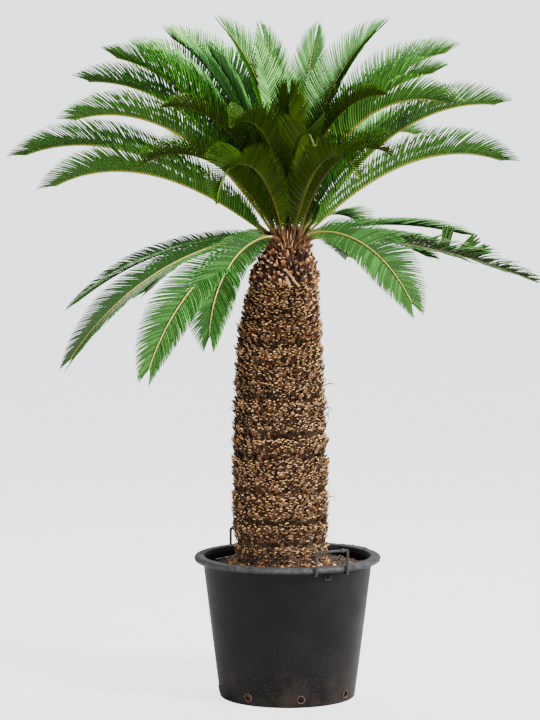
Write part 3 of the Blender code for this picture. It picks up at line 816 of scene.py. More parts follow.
def make_hole_collars(pot):
    """Rubbed, soil-stained edges round the drainage holes."""
    slope = (pot.neck_radius - pot.foot_radius) / (pot.height - pot.rim_tall)
    collars = []
    for middle, outward in hole_places(pot):
        deselect()
        facing = (outward - UP * slope).normalized()
        bpy.ops.mesh.primitive_torus_add(
            major_segments=HOLE_SEGMENTS, minor_segments=8, major_radius=pot.hole_radius,
            minor_radius=COLLAR_RADIUS, location=middle, rotation=rotation_to(facing),
        )
        collars.append(bpy.context.object)
    collar = join(collars)
    edit()
    bpy.ops.transform.vertex_random(offset=COLLAR_UNEVENNESS, uniform=0.4, normal=0.6, seed=SEED)
    leave_edit()
    bpy.ops.object.shade_smooth()
    return collar


class SAGO_OT_pot(bpy.types.Operator):
    """Model the moulded nursery pot with its rolled rim and drainage holes"""

    bl_idname = "sago.pot"
    bl_label = "Pot"

    def execute(self, context):
        pot = context.scene.sago_pot
        shell = turned("pot_shell", pot_profile(pot), POT_SEGMENTS)
        cutter = make_hole_cutter(pot)
        apply_modifier(shell, "BOOLEAN", object=cutter, operation="DIFFERENCE", solver="EXACT")
        bpy.data.objects.remove(cutter, do_unlink=True)
        take(shell)
        bpy.ops.object.shade_smooth_by_angle(angle=math.radians(40))
        set_materials(shell, [charcoal_plastic(pot)])
        finish_piece(shell, "pot_shell", ["pot"])
        collars = make_hole_collars(pot)
        set_materials(collars, [stained_plastic(pot)])
        finish_piece(collars, "hole_edges")
        return {"FINISHED"}


# Grips

GRIP_ANGLES = {"grip_front_right": -62.9, "grip_back_left": 117.1}
GRIP_CORNER = 0.006
GRIP_CORNER_STEPS = 4
# A leg bends up from its hook over this height, then is straight from over the hook to under the bar
HOOK_BEND = 0.004
LEG_START = 0.020
LEG_END = 0.018
# How much thicker a leg is at the hook and at the bar
HOOK_SWELL = 1.05
CORNER_SWELL = 1.08
# Distances of the knuckle's four points from the leg
KNUCKLES = (0.012, 0.015, 0.022, 0.025)
# The latch under the rim between the legs: half its width, how far out it stands, how far its posts
# reach from and to below the hooks, and their radii
LATCH_HALF = 0.010
LATCH_OUT = 0.004
LATCH_DROPS = (0.004, 0.020)
LATCH_RADII = (0.0022, 0.0020)


def grip_path(grip, hook_height):
    """Side, radius, height and thickness at points from one hook's end to near the bar's middle."""
    half = grip.width / 2
    path = [(half, grip.hook_radius, hook_height, grip.hook_size)]
    path.append((half, grip.leg_radius - HOOK_BEND, hook_height, grip.hook_size))
    path.append((half, grip.leg_radius, hook_height + HOOK_BEND, grip.hook_size * HOOK_SWELL))
    path.append((half, grip.leg_radius, hook_height + LEG_START, grip.bar_size))
    path.append((half, grip.leg_radius, grip.bar_height - LEG_END, grip.bar_size))
    for step in range(GRIP_CORNER_STEPS + 1):
        turn = math.pi / 2 * step / GRIP_CORNER_STEPS
        side = half - GRIP_CORNER * (1 - math.cos(turn))
        height = grip.bar_height - GRIP_CORNER * (1 - math.sin(turn))
        path.append((side, grip.leg_radius, height, grip.bar_size * CORNER_SWELL))
    sizes = (grip.bar_size, grip.bulge_size, grip.bulge_size, grip.bar_size)
    for inset, size in zip(KNUCKLES, sizes):
        path.append((half - inset, grip.leg_radius, grip.bar_height, size))
    return path


def make_grip(name, angle, grip, pot):
    """One grip: a bent bar with knuckles, hooked under the rim, with a latch between its legs."""
    outward = turn_direction(angle)
    across = turn_direction(angle + 90)
    hook_height = pot.height - pot.rim_tall - GAP - grip.hook_size / 2
    path = grip_path(grip, hook_height)
    path += [(-side, radius, height, size) for side, radius, height, size in reversed(path)]
    points = [across * side + outward * radius + UP * height for side, radius, height, _ in path]
    bars = [swept_tube(name, points, [size / 2 for *_, size in path], 16)]
    posts = []
    for side in (-LATCH_HALF, LATCH_HALF):
        start = outward * (pot.neck_radius + LATCH_OUT) + across * side
        posts.append([start + UP * (hook_height - drop) for drop in LATCH_DROPS])
    for line in posts + [[posts[0][1], posts[1][1]]]:
        bars.append(swept_tube(name, line, LATCH_RADII, 8))
    piece = join(bars)
    bpy.ops.object.shade_smooth()
    return piece


class SAGO_OT_grips(bpy.types.Operator):
    """Model the two grips that stand over the pot's rim"""

    bl_idname = "sago.grips"
    bl_label = "Grips"

    def execute(self, context):
        pot = context.scene.sago_pot
        material = grip_plastic(pot)
        for name, angle in GRIP_ANGLES.items():
            piece = make_grip(name, angle, context.scene.sago_grip, pot)
            set_materials(piece, [material])
            finish_piece(piece, name + "_bar", [name])
        return {"FINISHED"}


# Soil

SOIL_SIDE_GAP = 0.0006
SOIL_EDGE_DROP = 0.006
SOIL_RINGS = 40
SOIL_SEGMENTS = 128
# Distance from the pot's axis and rise of the soil's top: a low mound round the trunk, lower at the pot
SOIL_RISES = ((0.0, 0.0), (0.196, 0.0), (0.224, 0.006), (0.255, 0.0), (0.290, -SOIL_EDGE_DROP))
SOIL_MIDDLE = 0.02
SOIL_STILL_EDGE = 0.004
LUMP_SCALE = 0.018
# How uneven a crumb's corners are, and its least and most breadth across
LUMP_UNEVENNESS = 0.35
LUMP_BREADTHS = (0.5, 1.0)
# Crumbs and specks: the ring they lie in, how high, and their sizes
CRUMB_RING = (0.150, 0.283)
CRUMB_RISE = 0.002
CRUMB_UNEVENNESS = (-0.002, 0.003)
CRUMB_SIZES = (0.0014, 0.0048)
SPECK_RING = (0.215, 0.283)
SPECK_RISE = 0.006
SPECK_SIZES = (0.0012, 0.0026)
# Where the pale specks gather along the wall: radii, and degrees from +X seen from above
SPECK_BAND = (0.258, 0.283)
SPECK_ARC = (118, 156)
# Crumbs spilt on the rim at the back right: how many, and their radii and degrees
RIM_CRUMBS = 90
RIM_BAND = (0.302, 0.320)
RIM_ARC = (26, 52)


def soil_profile(pot):
    """Radius and height from the middle of the soil's underside, up its side and in to its middle."""
    floor = pot.wall + GAP
    edge = SOIL_TOP - SOIL_EDGE_DROP
    outer = wall_radius(pot, edge) - pot.wall - SOIL_SIDE_GAP
    foot = wall_radius(pot, floor) - pot.wall - SOIL_SIDE_GAP
    profile = [(SOIL_MIDDLE, floor), (foot, floor), (outer, edge)]
    for ring in range(1, SOIL_RINGS):
        share = 1 - ring / SOIL_RINGS
        profile.append((outer * share, soil_height(outer * share)))
    return profile


def soil_height(radius):
    radii, rises = zip(*SOIL_RISES)
    return float(np.interp(radius, radii, rises)) + SOIL_TOP - GAP


def lump_shapes(rng, places, sizes, flatness):
    """Points and faces of many small eight-faced lumps."""
    corners = np.array([(1, 0, 0), (0, 1, 0), (-1, 0, 0), (0, -1, 0), (0, 0, 1), (0, 0, -1)], float)
    upper = [(k, (k + 1) % 4, 4) for k in range(4)]
    lower = [((k + 1) % 4, k, 5) for k in range(4)]
    sides = np.array(upper + lower)
    total = len(places)
    shape = corners[None] * (1 + rng.uniform(-LUMP_UNEVENNESS, LUMP_UNEVENNESS, (total, 6, 3)))
    turn = rng.uniform(0, 2 * math.pi, total)
    cos, sin = np.cos(turn)[:, None], np.sin(turn)[:, None]
    x = shape[:, :, 0] * cos - shape[:, :, 1] * sin
    y = shape[:, :, 0] * sin + shape[:, :, 1] * cos
    y = y * rng.uniform(*LUMP_BREADTHS, (total, 1))
    shape = np.stack([x, y, shape[:, :, 2] * flatness], 2)
    points = places[:, None] + shape * sizes[:, None, None]
    faces = sides[None] + 6 * np.arange(total)[:, None, None]
    return points.reshape(-1, 3), faces.reshape(-1, 3).tolist()


def scattered(rng, total, inner, outer, rise, arc=(0, 360)):
    """Places spread evenly over a ring of the soil, clear of the trunk, or over an arc of it."""
    radius = np.sqrt(rng.uniform(inner**2, outer**2, total))
    angle = np.radians(rng.uniform(*arc, total))
    height = np.array([soil_height(r) for r in radius]) + rise
    return np.stack([radius * np.cos(angle), radius * np.sin(angle), height], 1)


def make_bed(soil, pot):
    """The body of the soil, with its top roughened into lumps but for its edge."""
    bed = turned("soil_bed", soil_profile(pot), SOIL_SEGMENTS)
    texture = bpy.data.textures.new("soil_lumps", "CLOUDS")
    texture.noise_scale = LUMP_SCALE
    texture.noise_depth = 3
    edge = SOIL_TOP - SOIL_EDGE_DROP - TINY
    rim = max(vertex.co.x for vertex in bed.data.vertices) - SOIL_STILL_EDGE
    top = [v.index for v in bed.data.vertices if v.co.z > edge and math.hypot(v.co.x, v.co.y) < rim]
    bed.vertex_groups.new(name="top").add(top, 1.0, "REPLACE")
    apply_modifier(
        bed, "DISPLACE", texture=texture, texture_coords="LOCAL", direction="Z",
        strength=soil.relief * 2, mid_level=0.45, vertex_group="top",
    )
    bpy.ops.object.shade_smooth()
    return bed


def make_crumbs(soil, pot, rng):
    """Loose crumbs on the soil, and some spilt on the rim."""
    places = scattered(rng, soil.crumbs, *CRUMB_RING, CRUMB_RISE)
    places[:, 2] += rng.uniform(*CRUMB_UNEVENNESS, soil.crumbs)
    on_rim = scattered(rng, RIM_CRUMBS, *RIM_BAND, 0, RIM_ARC)
    on_rim[:, 2] = pot.height
    places = np.concatenate([places, on_rim])
    points, faces = lump_shapes(rng, places, rng.uniform(*CRUMB_SIZES, len(places)), 0.7)
    looks = [
        plain_material("crumb_dark", tone(soil.earth, 0.8), 0.9, 0.2),
        plain_material("crumb_brown", tone(soil.earth, 2.6), 0.9, 0.2),
        plain_material("crumb_bark", soil.bark_bit, 0.85, 0.2),
    ]
    dealt = rng.choice(3, len(places), p=(0.5, 0.34, 0.16))
    return mesh_object("soil_crumbs", points, faces, looks, np.repeat(dealt, len(faces) // len(places)))


def make_specks(soil, rng):
    """Pale mineral specks, half of them gathered along the wall."""
    all_round = scattered(rng, soil.specks, *SPECK_RING, SPECK_RISE)
    by_wall = scattered(rng, soil.specks, *SPECK_BAND, SPECK_RISE, SPECK_ARC)
    places = np.concatenate([all_round, by_wall])
    points, faces = lump_shapes(rng, places, rng.uniform(*SPECK_SIZES, len(places)), 0.8)
    looks = [plain_material("pale_speck", soil.speck, 0.8, 0.3)]
    return mesh_object("soil_specks", points, faces, looks, np.zeros(len(faces)))


class SAGO_OT_soil(bpy.types.Operator):
    """Model the lumpy soil with crumbs, bark bits and pale specks"""

    bl_idname = "sago.soil"
    bl_label = "Soil"

    def execute(self, context):
        soil = context.scene.sago_soil
        pot = context.scene.sago_pot
        bed = make_bed(soil, pot)
        set_materials(bed, [moist_soil(soil)])
        finish_piece(bed, "soil_bed", ["soil"])
        rng = np.random.default_rng(SEED)
        finish_piece(make_crumbs(soil, pot, rng), "soil_crumbs")
        finish_piece(make_specks(soil, rng), "soil_specks")
        return {"FINISHED"}


# Trunk

CORE_INSET = 0.013
CORE_RINGS = 90
CORE_SEGMENTS = 72
CORE_CROWN_INSET = 0.004
CORE_LUMPS = 0.02
CORE_RELIEF = 0.008
CROWN_TOP_RINGS = (0.75, 0.4, 0.1)
GOLDEN_ANGLE = 2.399963
# Unevenness of the corners of a broken end
RAGGED = 0.0022
# Broken leaf bases: rise in degrees and its spread, spread of their skew and roll in radians, and
# how far their ends stand proud of the trunk: the lowest, the range, and how many stay low in it
SCALE_RISE = (46, 9)
SCALE_SKEW = 0.14
SCALE_ROLL = 0.20
SCALE_SUNK = 0.005
SCALE_RANGE = 0.013
SCALE_LOWNESS = 1.8
SHOULDER_RISE = 0.004
# How far the lowest lie over the soil and the highest over the first stubs, how far they stray from
# the spiral upward and round, and the least and most of their lengths, widths and depths
SCALE_FIRST = 0.002
SCALE_OVERLAP = 0.01
SCALE_STRAY_UP = 0.0012
SCALE_STRAY_ROUND = 0.012
SCALE_LENGTHS = (0.85, 1.15)
SCALE_WIDTHS = (0.75, 1.2)
SCALE_DEPTHS = (0.7, 1.35)
# Cut petioles and pointed leaves between them: how they crowd upward, how far they stray, the rise of
# the lowest in degrees with its growth and spread, spread of skew and roll, then ranges as for scales
STUB_CROWDING = 0.9
STUB_STRAY_UP = 0.003
STUB_STRAY_ROUND = 0.06
STUB_RISE = 32
STUB_RISE_GROWTH = 34
STUB_RISE_SPREAD = 10
STUB_SKEW = 0.25
STUB_ROLL = 0.5
STUB_PROUD = (-0.006, 0.006)
STUB_LENGTHS = (0.8, 1.2)
STUB_WIDTHS = (0.6, 1.35)
STUB_DEPTHS = (0.6, 1.3)
# Woolly spikes among the petioles: how far out they stand in radii of the trunk's top, rise in degrees
# of the middle ones, its loss outward and its spread, spread of skew and roll, shortest and longest,
# growth toward the middle, how far they are sunk, widths and depths
SPIKE_REACH = 1.08
SPIKE_RISE = 88
SPIKE_RISE_LOSS = 40
SPIKE_RISE_SPREAD = 12
SPIKE_SKEW = 0.3
SPIKE_ROLL = 0.5
SPIKE_SPANS = (0.016, 0.034)
SPIKE_GROWTH = 0.040
SPIKE_SUNK = 0.012
SPIKE_WIDTHS = (0.004, 0.009)
SPIKE_DEPTHS = (0.002, 0.004)
# Fallen scales: inner radius, width and height of their heap, how they crowd inward, how unevenly they
# lie, their rises in degrees, spread of skew and roll, then their lengths, widths and depths
LITTER_RADIUS = 0.148
LITTER_REACH = 0.044
LITTER_RISE = 0.014
LITTER_CROWDING = 1.5
LITTER_LIFT = 0.004
LITTER_RISES = (-25, 60)
LITTER_SKEW = 1.0
LITTER_ROLL = 0.8
LITTER_SPANS = (0.010, 0.022)
LITTER_WIDTHS = (0.004, 0.009)
LITTER_DEPTHS = (0.0015, 0.003)
# Below this height the scales lie flatter over a reach, and by this much at most
FOOT_TOP = 0.64
FOOT_REACH = 0.10
FOOT_NARROWING = 0.010
# Corners of a section, counterclockwise seen from the tip, in halves of its width and depth
ARCHED = ((-1.0, -0.8), (0.0, -0.1), (1.0, -0.8), (0.85, 0.2), (0.0, 1.0), (-0.85, 0.2))
ROUNDED = ((-1.0, 0.0), (-0.5, -0.9), (0.5, -0.9), (1.0, 0.0), (0.5, 0.9), (-0.5, 0.9))
# Sections along a bar: share of the length, then width and depth
SCALE_SECTIONS = ((0.0, 0.9, 1.1), (1.0, 0.9, 1.0))
STUB_SECTIONS = ((0.0, 1.1, 1.2), (0.6, 1.0, 1.0), (1.0, 0.9, 0.9))
SPIKE_SECTIONS = ((0.0, 1.0, 1.0), (0.4, 1.0, 0.9), (0.75, 0.6, 0.6), (1.0, 0.10, 0.12))
SPINE_SECTIONS = ((0.0, 1.0, 1.0), (0.5, 0.65, 0.65), (1.0, 0.10, 0.12))
StubSize = collections.namedtuple("StubSize", "wide deep span")
CUT_STUB = StubSize(0.0135, 0.0090, 0.034)
POINTED_STUB = StubSize(0.0095, 0.0042, 0.034)
# A groove this deep or deeper shows in full; then its bands of painted light and painted shade: how far
# above it and how wide
FULL_GROOVE = 0.007
SHOULDER = (-0.017, 0.009)
SHADED = (0.002, 0.008)
# Most of the scales that may be pale with painted light under a groove or dark with painted shade in it
BAND_SHARE = 0.9
# Above this height painted light makes the bark paler under the crown's shade, over a reach, up to this
# share of its scales
PALE_START = 1.10
PALE_REACH = 0.10
PALE_SHARE = 0.80
# Heights, reaches and shares of the bands where fresh orange bark shows
ORANGE_BANDS = ((1.30, 0.050, 0.34), (1.258, 0.010, 0.6), (1.165, 0.024, 0.35), (0.86, 0.012, 0.25))
# Dry fibres: radius at the foot, share of it lost to the tip, steps along one, how far it bows out and
# arches up, and how far in its foot lies
FIBRE_RADIUS = 0.0028
FIBRE_TAPER = 0.6
FIBRE_STEPS = 8
FIBRE_BOW = 0.010
FIBRE_ARCH = 0.012
FIBRE_SUNK = 0.010
FIBRES = (
    # Azimuth, height, then reach outward, sideways and upward of a dry fibre's end
    (4, 1.080, 0.036, -0.004, 0.006),
    (-6, 1.055, 0.022, 0.006, -0.080),
    (2, 0.998, 0.022, 0.002, -0.001),
    (-3, 0.985, 0.012, 0.004, -0.018),
    (-2, 0.690, 0.024, 0.004, -0.006),
    (182, 1.280, 0.012, 0.004, 0.026),
    (186, 1.085, 0.012, -0.002, 0.014),
    (184, 0.998, 0.014, 0.002, 0.006),
    (120, 1.120, 0.030, 0.010, -0.040),
    (75, 0.870, 0.026, -0.006, -0.030),
)


def trunk_radius(heights):
    knots, radii = zip(*TRUNK_PROFILE)
    radius = np.interp(heights, knots, radii)
    for groove, depth in TRUNK_GROOVES:
        radius = radius - depth * np.exp(-(((heights - groove) / GROOVE_REACH) ** 2))
        ledge = groove - LEDGE_DROP
        radius = radius + depth * LEDGE_SHARE * np.exp(-(((heights - ledge) / LEDGE_REACH) ** 2))
    return radius


def trunk_lean(heights):
    knots, offsets = zip(*TRUNK_LEAN)
    return np.interp(heights, knots, offsets)


def crown_height(radius):
    """Height of the trunk's rounded top at a distance from its middle."""
    rim_height, rim_radius = TRUNK_PROFILE[-1]
    return rim_height + CROWN_TOP_RISE * (1 - (radius / rim_radius) ** 2)


def make_trunk_core():
    """The matted bark under the scales: a circle extruded up the trunk and roughened."""
    heights = np.linspace(SOIL_TOP, TRUNK_PROFILE[-1][0], CORE_RINGS)
    radii = trunk_radius(heights) - CORE_INSET
    middles = trunk_lean(heights)
    deselect()
    bpy.ops.mesh.primitive_circle_add(
        vertices=CORE_SEGMENTS, radius=radii[0], fill_type="NGON", location=(middles[0], 0, heights[0])
    )
    core = bpy.context.object
    edit()
    for k in range(1, CORE_RINGS):
        step = (middles[k] - middles[k - 1], 0, heights[k] - heights[k - 1])
        bpy.ops.mesh.extrude_region_move(TRANSFORM_OT_translate={"value": step})
        share = radii[k] / radii[k - 1]
        bpy.ops.transform.resize(value=(share, share, 1), center_override=(middles[k], 0, heights[k]))
    radius, height = radii[-1], heights[-1]
    for share in CROWN_TOP_RINGS:
        after = radii[-1] * share
        rise = crown_height(TRUNK_PROFILE[-1][1] * share) - CORE_CROWN_INSET - height
        bpy.ops.mesh.extrude_region_move(TRANSFORM_OT_translate={"value": (0, 0, rise)})
        height += rise
        bpy.ops.transform.resize(
            value=(after / radius, after / radius, 1), center_override=(middles[-1], 0, height)
        )
        radius = after
    bpy.ops.mesh.select_all(action="SELECT")
    bpy.ops.mesh.normals_make_consistent(inside=False)
    leave_edit()
    texture = bpy.data.textures.new("matted_bark", "CLOUDS")
    texture.noise_scale = CORE_LUMPS
    apply_modifier(
        core, "DISPLACE", texture=texture, texture_coords="LOCAL", strength=CORE_RELIEF, mid_level=0.5
    )
    return core


def bar_shapes(roots, axes, widths, spans, corners, sections, ragged=None):
    """Points, faces and face kinds of many tapering bars.

    The corners go round a section in halves of its width and depth, and a section is its share of
    the length with its width and depth. Face kinds: 0 upper side, 1 lower side, 2 cut end.
    """
    direction, across, over = axes
    sides = len(corners)
    rings = []
    for share, wide, deep in sections:
        middle = roots + direction * (spans[:, None] * share)
        for left, up in corners:
            offset = across * (widths[0] * left * wide / 2)[:, None]
            rings.append(middle + offset + over * (widths[1] * up * deep / 2)[:, None])
    points = np.stack(rings, 1)
    if ragged is not None:
        points[:, -sides:] += direction[:, None] * ragged[:, :, None]
    pattern = [tuple(reversed(range(sides)))]
    kinds = [1]
    for k in range(len(sections) - 1):
        low = sides * k
        for side in range(sides):
            after = (side + 1) % sides
            pattern.append((low + side, low + after, low + sides + after, low + sides + side))
            kinds.append(0 if corners[side][1] + corners[after][1] > 0 else 1)
    last = sides * (len(sections) - 1)
    pattern.append(tuple(range(last, last + sides)))
    kinds.append(2)
    each = points.shape[1]
    faces = [tuple(each * k + corner for corner in face) for k in range(len(roots)) for face in pattern]
    return points.reshape(-1, 3), faces, np.array(kinds)


def bars_object(name, bars, corners, sections, looks, materials, ragged=None):
    """An object of many bars, with the looks dealt to their upper sides, lower sides and ends."""
    points, faces, kinds = bar_shapes(*bars, corners, sections, ragged)
    return mesh_object(name, points, faces, materials, np.stack(looks, 1)[:, kinds].ravel())


def bar_axes(azimuths, rises, skews, rolls):
    """Direction, width axis and depth axis of bars that stand out of the trunk."""
    zero = np.zeros_like(azimuths)
    outward = np.stack([np.cos(azimuths), np.sin(azimuths), zero], 1)
    sideways = np.stack([-np.sin(azimuths), np.cos(azimuths), zero], 1)
    level = outward * np.cos(skews)[:, None] + sideways * np.sin(skews)[:, None]
    aside = sideways * np.cos(skews)[:, None] - outward * np.sin(skews)[:, None]
    up = np.array([0.0, 0.0, 1.0])
    direction = level * np.cos(rises)[:, None] + up * np.sin(rises)[:, None]
    over = up * np.cos(rises)[:, None] - level * np.sin(rises)[:, None]
    across = aside * np.cos(rolls)[:, None] + over * np.sin(rolls)[:, None]
    return direction, across, np.cross(direction, across)


def bark_materials(trunk):
    """Looks of the bark, in the order of DARK to PLUM."""
    rough = {
        "bark_dark": tone(trunk.brown, 0.22),
        "bark_brown": trunk.brown,
        "bark_tan": trunk.tan,
        "bark_orange": trunk.orange,
        "bark_grey": trunk.grey,
        "bark_light": tone(trunk.tan, 1.4),
    }
    smooth = {"bark_cream": trunk.cream, "bark_plum": trunk.plum}
    looks = [plain_material(name, base, 0.9, 0.2) for name, base in rough.items()]
    return looks + [plain_material(name, base, 0.8, 0.3) for name, base in smooth.items()]


DARK, BROWN, TAN, ORANGE, GREY, LIGHT, CREAM, PLUM = range(8)
# How often each look is dealt: to the upper sides, lower sides and ends of the broken leaf bases, to the
# sides and ends of the cut petioles, to the pointed leaves between them, the spikes and the fallen scales
SCALE_UPPER = {BROWN: 0.30, TAN: 0.40, GREY: 0.30}
# Lower sides mostly dark: painted shade under each broken leaf base.
SCALE_LOWER = {DARK: 0.70, BROWN: 0.30}
SCALE_END = {BROWN: 0.10, TAN: 0.34, LIGHT: 0.24, GREY: 0.26, ORANGE: 0.06}
CUT_SIDE = {PLUM: 0.34, BROWN: 0.22, DARK: 0.30, ORANGE: 0.14}
CUT_END = {CREAM: 0.5, LIGHT: 0.28, TAN: 0.22}
POINTED_SIDE = {PLUM: 0.26, DARK: 0.40, BROWN: 0.16, ORANGE: 0.10, TAN: 0.08}
SPIKE_SIDE = {ORANGE: 0.22, BROWN: 0.36, DARK: 0.22, TAN: 0.20}
LITTER_SIDE = {TAN: 0.28, LIGHT: 0.14, BROWN: 0.32, ORANGE: 0.12, GREY: 0.14}

# Split ends of old petioles on the front of the neck: place across and height of the foot and of the
# tip, and look
Sliver = collections.namedtuple("Sliver", "x z tip_x tip_z look")
SLIVERS = (
    Sliver(-0.006, 1.493, 0.020, 1.461, CREAM),
    Sliver(-0.007, 1.471, 0.010, 1.435, CREAM),
    Sliver(0.010, 1.458, 0.034, 1.427, DARK),
    Sliver(0.018, 1.462, 0.040, 1.436, TAN),
)
SLIVER_SIZE = (0.0075, 0.0030)
SLIVER_PROUD = (0.000, 0.007)


def near_groove(heights, offset, reach):
    """How near each height is to a place at the offset from a deep groove, from 0 to 1."""
    nearness = np.zeros_like(heights)
    for groove, depth in TRUNK_GROOVES:
        near = np.exp(-(((heights - groove - offset) / reach) ** 2))
        nearness = np.maximum(nearness, near * min(1, depth / FULL_GROOVE))
    return nearness


def deal(rng, shares, total):
    """Looks drawn by their shares."""
    return rng.choice(list(shares), total, p=list(shares.values()))


def deal_bark(rng, heights):
    """Looks of the upper sides and broken ends: painted light on the rings' shoulders and under the crown,
    orange and painted shade in the grooves.
    """
    total = len(heights)
    upper = deal(rng, SCALE_UPPER, total)
    end = deal(rng, SCALE_END, total)
    # Painted light: paler scales on the ledges under the grooves.
    shoulder = near_groove(heights, *SHOULDER)
    # Painted light: paler bark under the crown, to lighten the crown's shade.
    under_crown = np.clip((heights - PALE_START) / PALE_REACH, 0, 1) * PALE_SHARE
    pale = rng.uniform(0, 1, total) < np.maximum(shoulder * BAND_SHARE, under_crown)
    end = np.where(pale, LIGHT, end)
    upper = np.where(pale, LIGHT, upper)
    orange = np.zeros(total)
    for height, reach, share in ORANGE_BANDS:
        orange += share * np.exp(-(((heights - height) / reach) ** 2))
    end = np.where(rng.uniform(0, 1, total) < orange, ORANGE, end)
    # Painted shade: dark scales in the grooves.
    shaded = rng.uniform(0, 1, total) < near_groove(heights, *SHADED) * BAND_SHARE
    return np.where(shaded, DARK, upper), np.where(shaded, DARK, end)


def stand_on_trunk(heights, azimuths, rises, spans, proud, drop):
    """Foot of each bar, such that its far end stands proud of the trunk at its height."""
    inward = trunk_radius(heights) + proud - spans * np.cos(rises)
    middle = trunk_lean(heights)
    z = np.maximum(heights - spans * np.sin(rises) * drop, SOIL_TOP + 0.001)
    return np.stack([middle + inward * np.cos(azimuths), inward * np.sin(azimuths), z], 1)


def make_scales(trunk, rng, materials):
    """Broken old leaf bases in a spiral from the soil to the cut stubs."""
    total = trunk.scales
    order = np.arange(total)
    top = STUB_START + SCALE_OVERLAP
    climb = (top - SOIL_TOP) * (order + 0.5) / total
    heights = SOIL_TOP + SCALE_FIRST + climb + rng.normal(0, SCALE_STRAY_UP, total)
    azimuths = order * GOLDEN_ANGLE + rng.normal(0, SCALE_STRAY_ROUND, total)
    rises = np.radians(rng.normal(*SCALE_RISE, total))
    axes = bar_axes(azimuths, rises, rng.normal(0, SCALE_SKEW, total), rng.normal(0, SCALE_ROLL, total))
    proud = -SCALE_SUNK + SCALE_RANGE * rng.uniform(0, 1, total) ** SCALE_LOWNESS
    proud += near_groove(heights, *SHOULDER) * SHOULDER_RISE
    proud -= FOOT_NARROWING * np.clip((FOOT_TOP - heights) / FOOT_REACH, 0, 1)
    spans = trunk.scale_length * rng.uniform(*SCALE_LENGTHS, total)
    roots = stand_on_trunk(heights, azimuths, rises, spans, proud, 0.8)
    widths = (
        trunk.scale_width * rng.uniform(*SCALE_WIDTHS, total),
        trunk.scale_depth * rng.uniform(*SCALE_DEPTHS, total),
    )
    ragged = rng.normal(0, RAGGED, (total, len(ARCHED)))
    upper, end = deal_bark(rng, heights)
    # Lower sides mostly dark: painted shade.
    looks = (upper, deal(rng, SCALE_LOWER, total), end)
    bars = (roots, axes, widths, spans)
    return bars_object("trunk_scales", bars, ARCHED, SCALE_SECTIONS, looks, materials, ragged)


def make_stub_rows(rng, materials, total, size, cut):
    """Cut petioles with pale faces, or the pointed scale leaves between them, under the crown."""
    top = TRUNK_PROFILE[-1][0]
    order = np.arange(total)
    climb = ((order + 0.5) / total) ** STUB_CROWDING
    heights = STUB_START + (top - STUB_START) * climb + rng.normal(0, STUB_STRAY_UP, total)
    azimuths = order * GOLDEN_ANGLE + rng.normal(0, STUB_STRAY_ROUND, total)
    rises = np.radians(STUB_RISE + STUB_RISE_GROWTH * climb + rng.normal(0, STUB_RISE_SPREAD, total))
    axes = bar_axes(azimuths, rises, rng.normal(0, STUB_SKEW, total), rng.normal(0, STUB_ROLL, total))
    spans = size.span * rng.uniform(*STUB_LENGTHS, total)
    proud = rng.uniform(*STUB_PROUD, total)
    roots = stand_on_trunk(np.minimum(heights, top), azimuths, rises, spans, proud, 0.75)
    widths = (
        size.wide * rng.uniform(*STUB_WIDTHS, total),
        size.deep * rng.uniform(*STUB_DEPTHS, total),
    )
    ragged = rng.normal(0, RAGGED, (total, len(ROUNDED)))
    sections = STUB_SECTIONS if cut else SPIKE_SECTIONS
    if cut:
        side = deal(rng, CUT_SIDE, total)
        end = deal(rng, CUT_END, total)
    else:
        side = deal(rng, POINTED_SIDE, total)
        end = side
    bars = (roots, axes, widths, spans)
    return bars_object("crown_stubs", bars, ROUNDED, sections, (side, side, end), materials, ragged)


def make_slivers(materials):
    """A few long split ends that hang over the cut stubs in front."""
    ends = []
    for side, proud in enumerate(SLIVER_PROUD):
        across = np.array([(row.x, row.tip_x)[side] for row in SLIVERS])
        heights = np.array([(row.z, row.tip_z)[side] for row in SLIVERS])
        reach = trunk_radius(heights) + proud
        depth = np.sqrt(reach**2 - (across - trunk_lean(heights)) ** 2)
        ends.append(np.stack([across, -depth, heights], 1))
    spans = np.linalg.norm(ends[1] - ends[0], axis=1)
    direction = (ends[1] - ends[0]) / spans[:, None]
    across = np.cross(direction, np.array([0.0, -1.0, 0.0]))
    across /= np.linalg.norm(across, axis=1)[:, None]
    axes = (direction, across, np.cross(direction, across))
    widths = [np.full(len(SLIVERS), size) for size in SLIVER_SIZE]
    look = np.array([row.look for row in SLIVERS])
    bars = (ends[0], axes, widths, spans)
    return bars_object("slivers", bars, ROUNDED, STUB_SECTIONS, (look, look, look), materials)


def make_spikes(trunk, rng, materials):
    """Woolly pointed scale leaves that stand among the feet of the petioles."""
    total = trunk.spikes
    reach = TRUNK_PROFILE[-1][1]
    radius = reach * SPIKE_REACH * np.sqrt(rng.uniform(0.02, 1.0, total))
    azimuths = rng.uniform(0, 2 * math.pi, total)
    unevenness = rng.uniform(-SPIKE_RISE_SPREAD, SPIKE_RISE_SPREAD, total)
    rises = np.radians(SPIKE_RISE - SPIKE_RISE_LOSS * radius / reach + unevenness)
    axes = bar_axes(azimuths, rises, rng.normal(0, SPIKE_SKEW, total), rng.normal(0, SPIKE_ROLL, total))
    height = crown_height(np.minimum(radius, reach)) - SPIKE_SUNK
    middle = TRUNK_LEAN[-1][1]
    roots = np.stack([middle + radius * np.cos(azimuths), radius * np.sin(azimuths), height], 1)
    spans = rng.uniform(*SPIKE_SPANS, total) + SPIKE_GROWTH * (1 - radius / reach).clip(0, 1)
    widths = (rng.uniform(*SPIKE_WIDTHS, total), rng.uniform(*SPIKE_DEPTHS, total))
    look = deal(rng, SPIKE_SIDE, total)
    bars = (roots, axes, widths, spans)
    return bars_object("crown_spikes", bars, ROUNDED, SPIKE_SECTIONS, (look, look, look), materials)


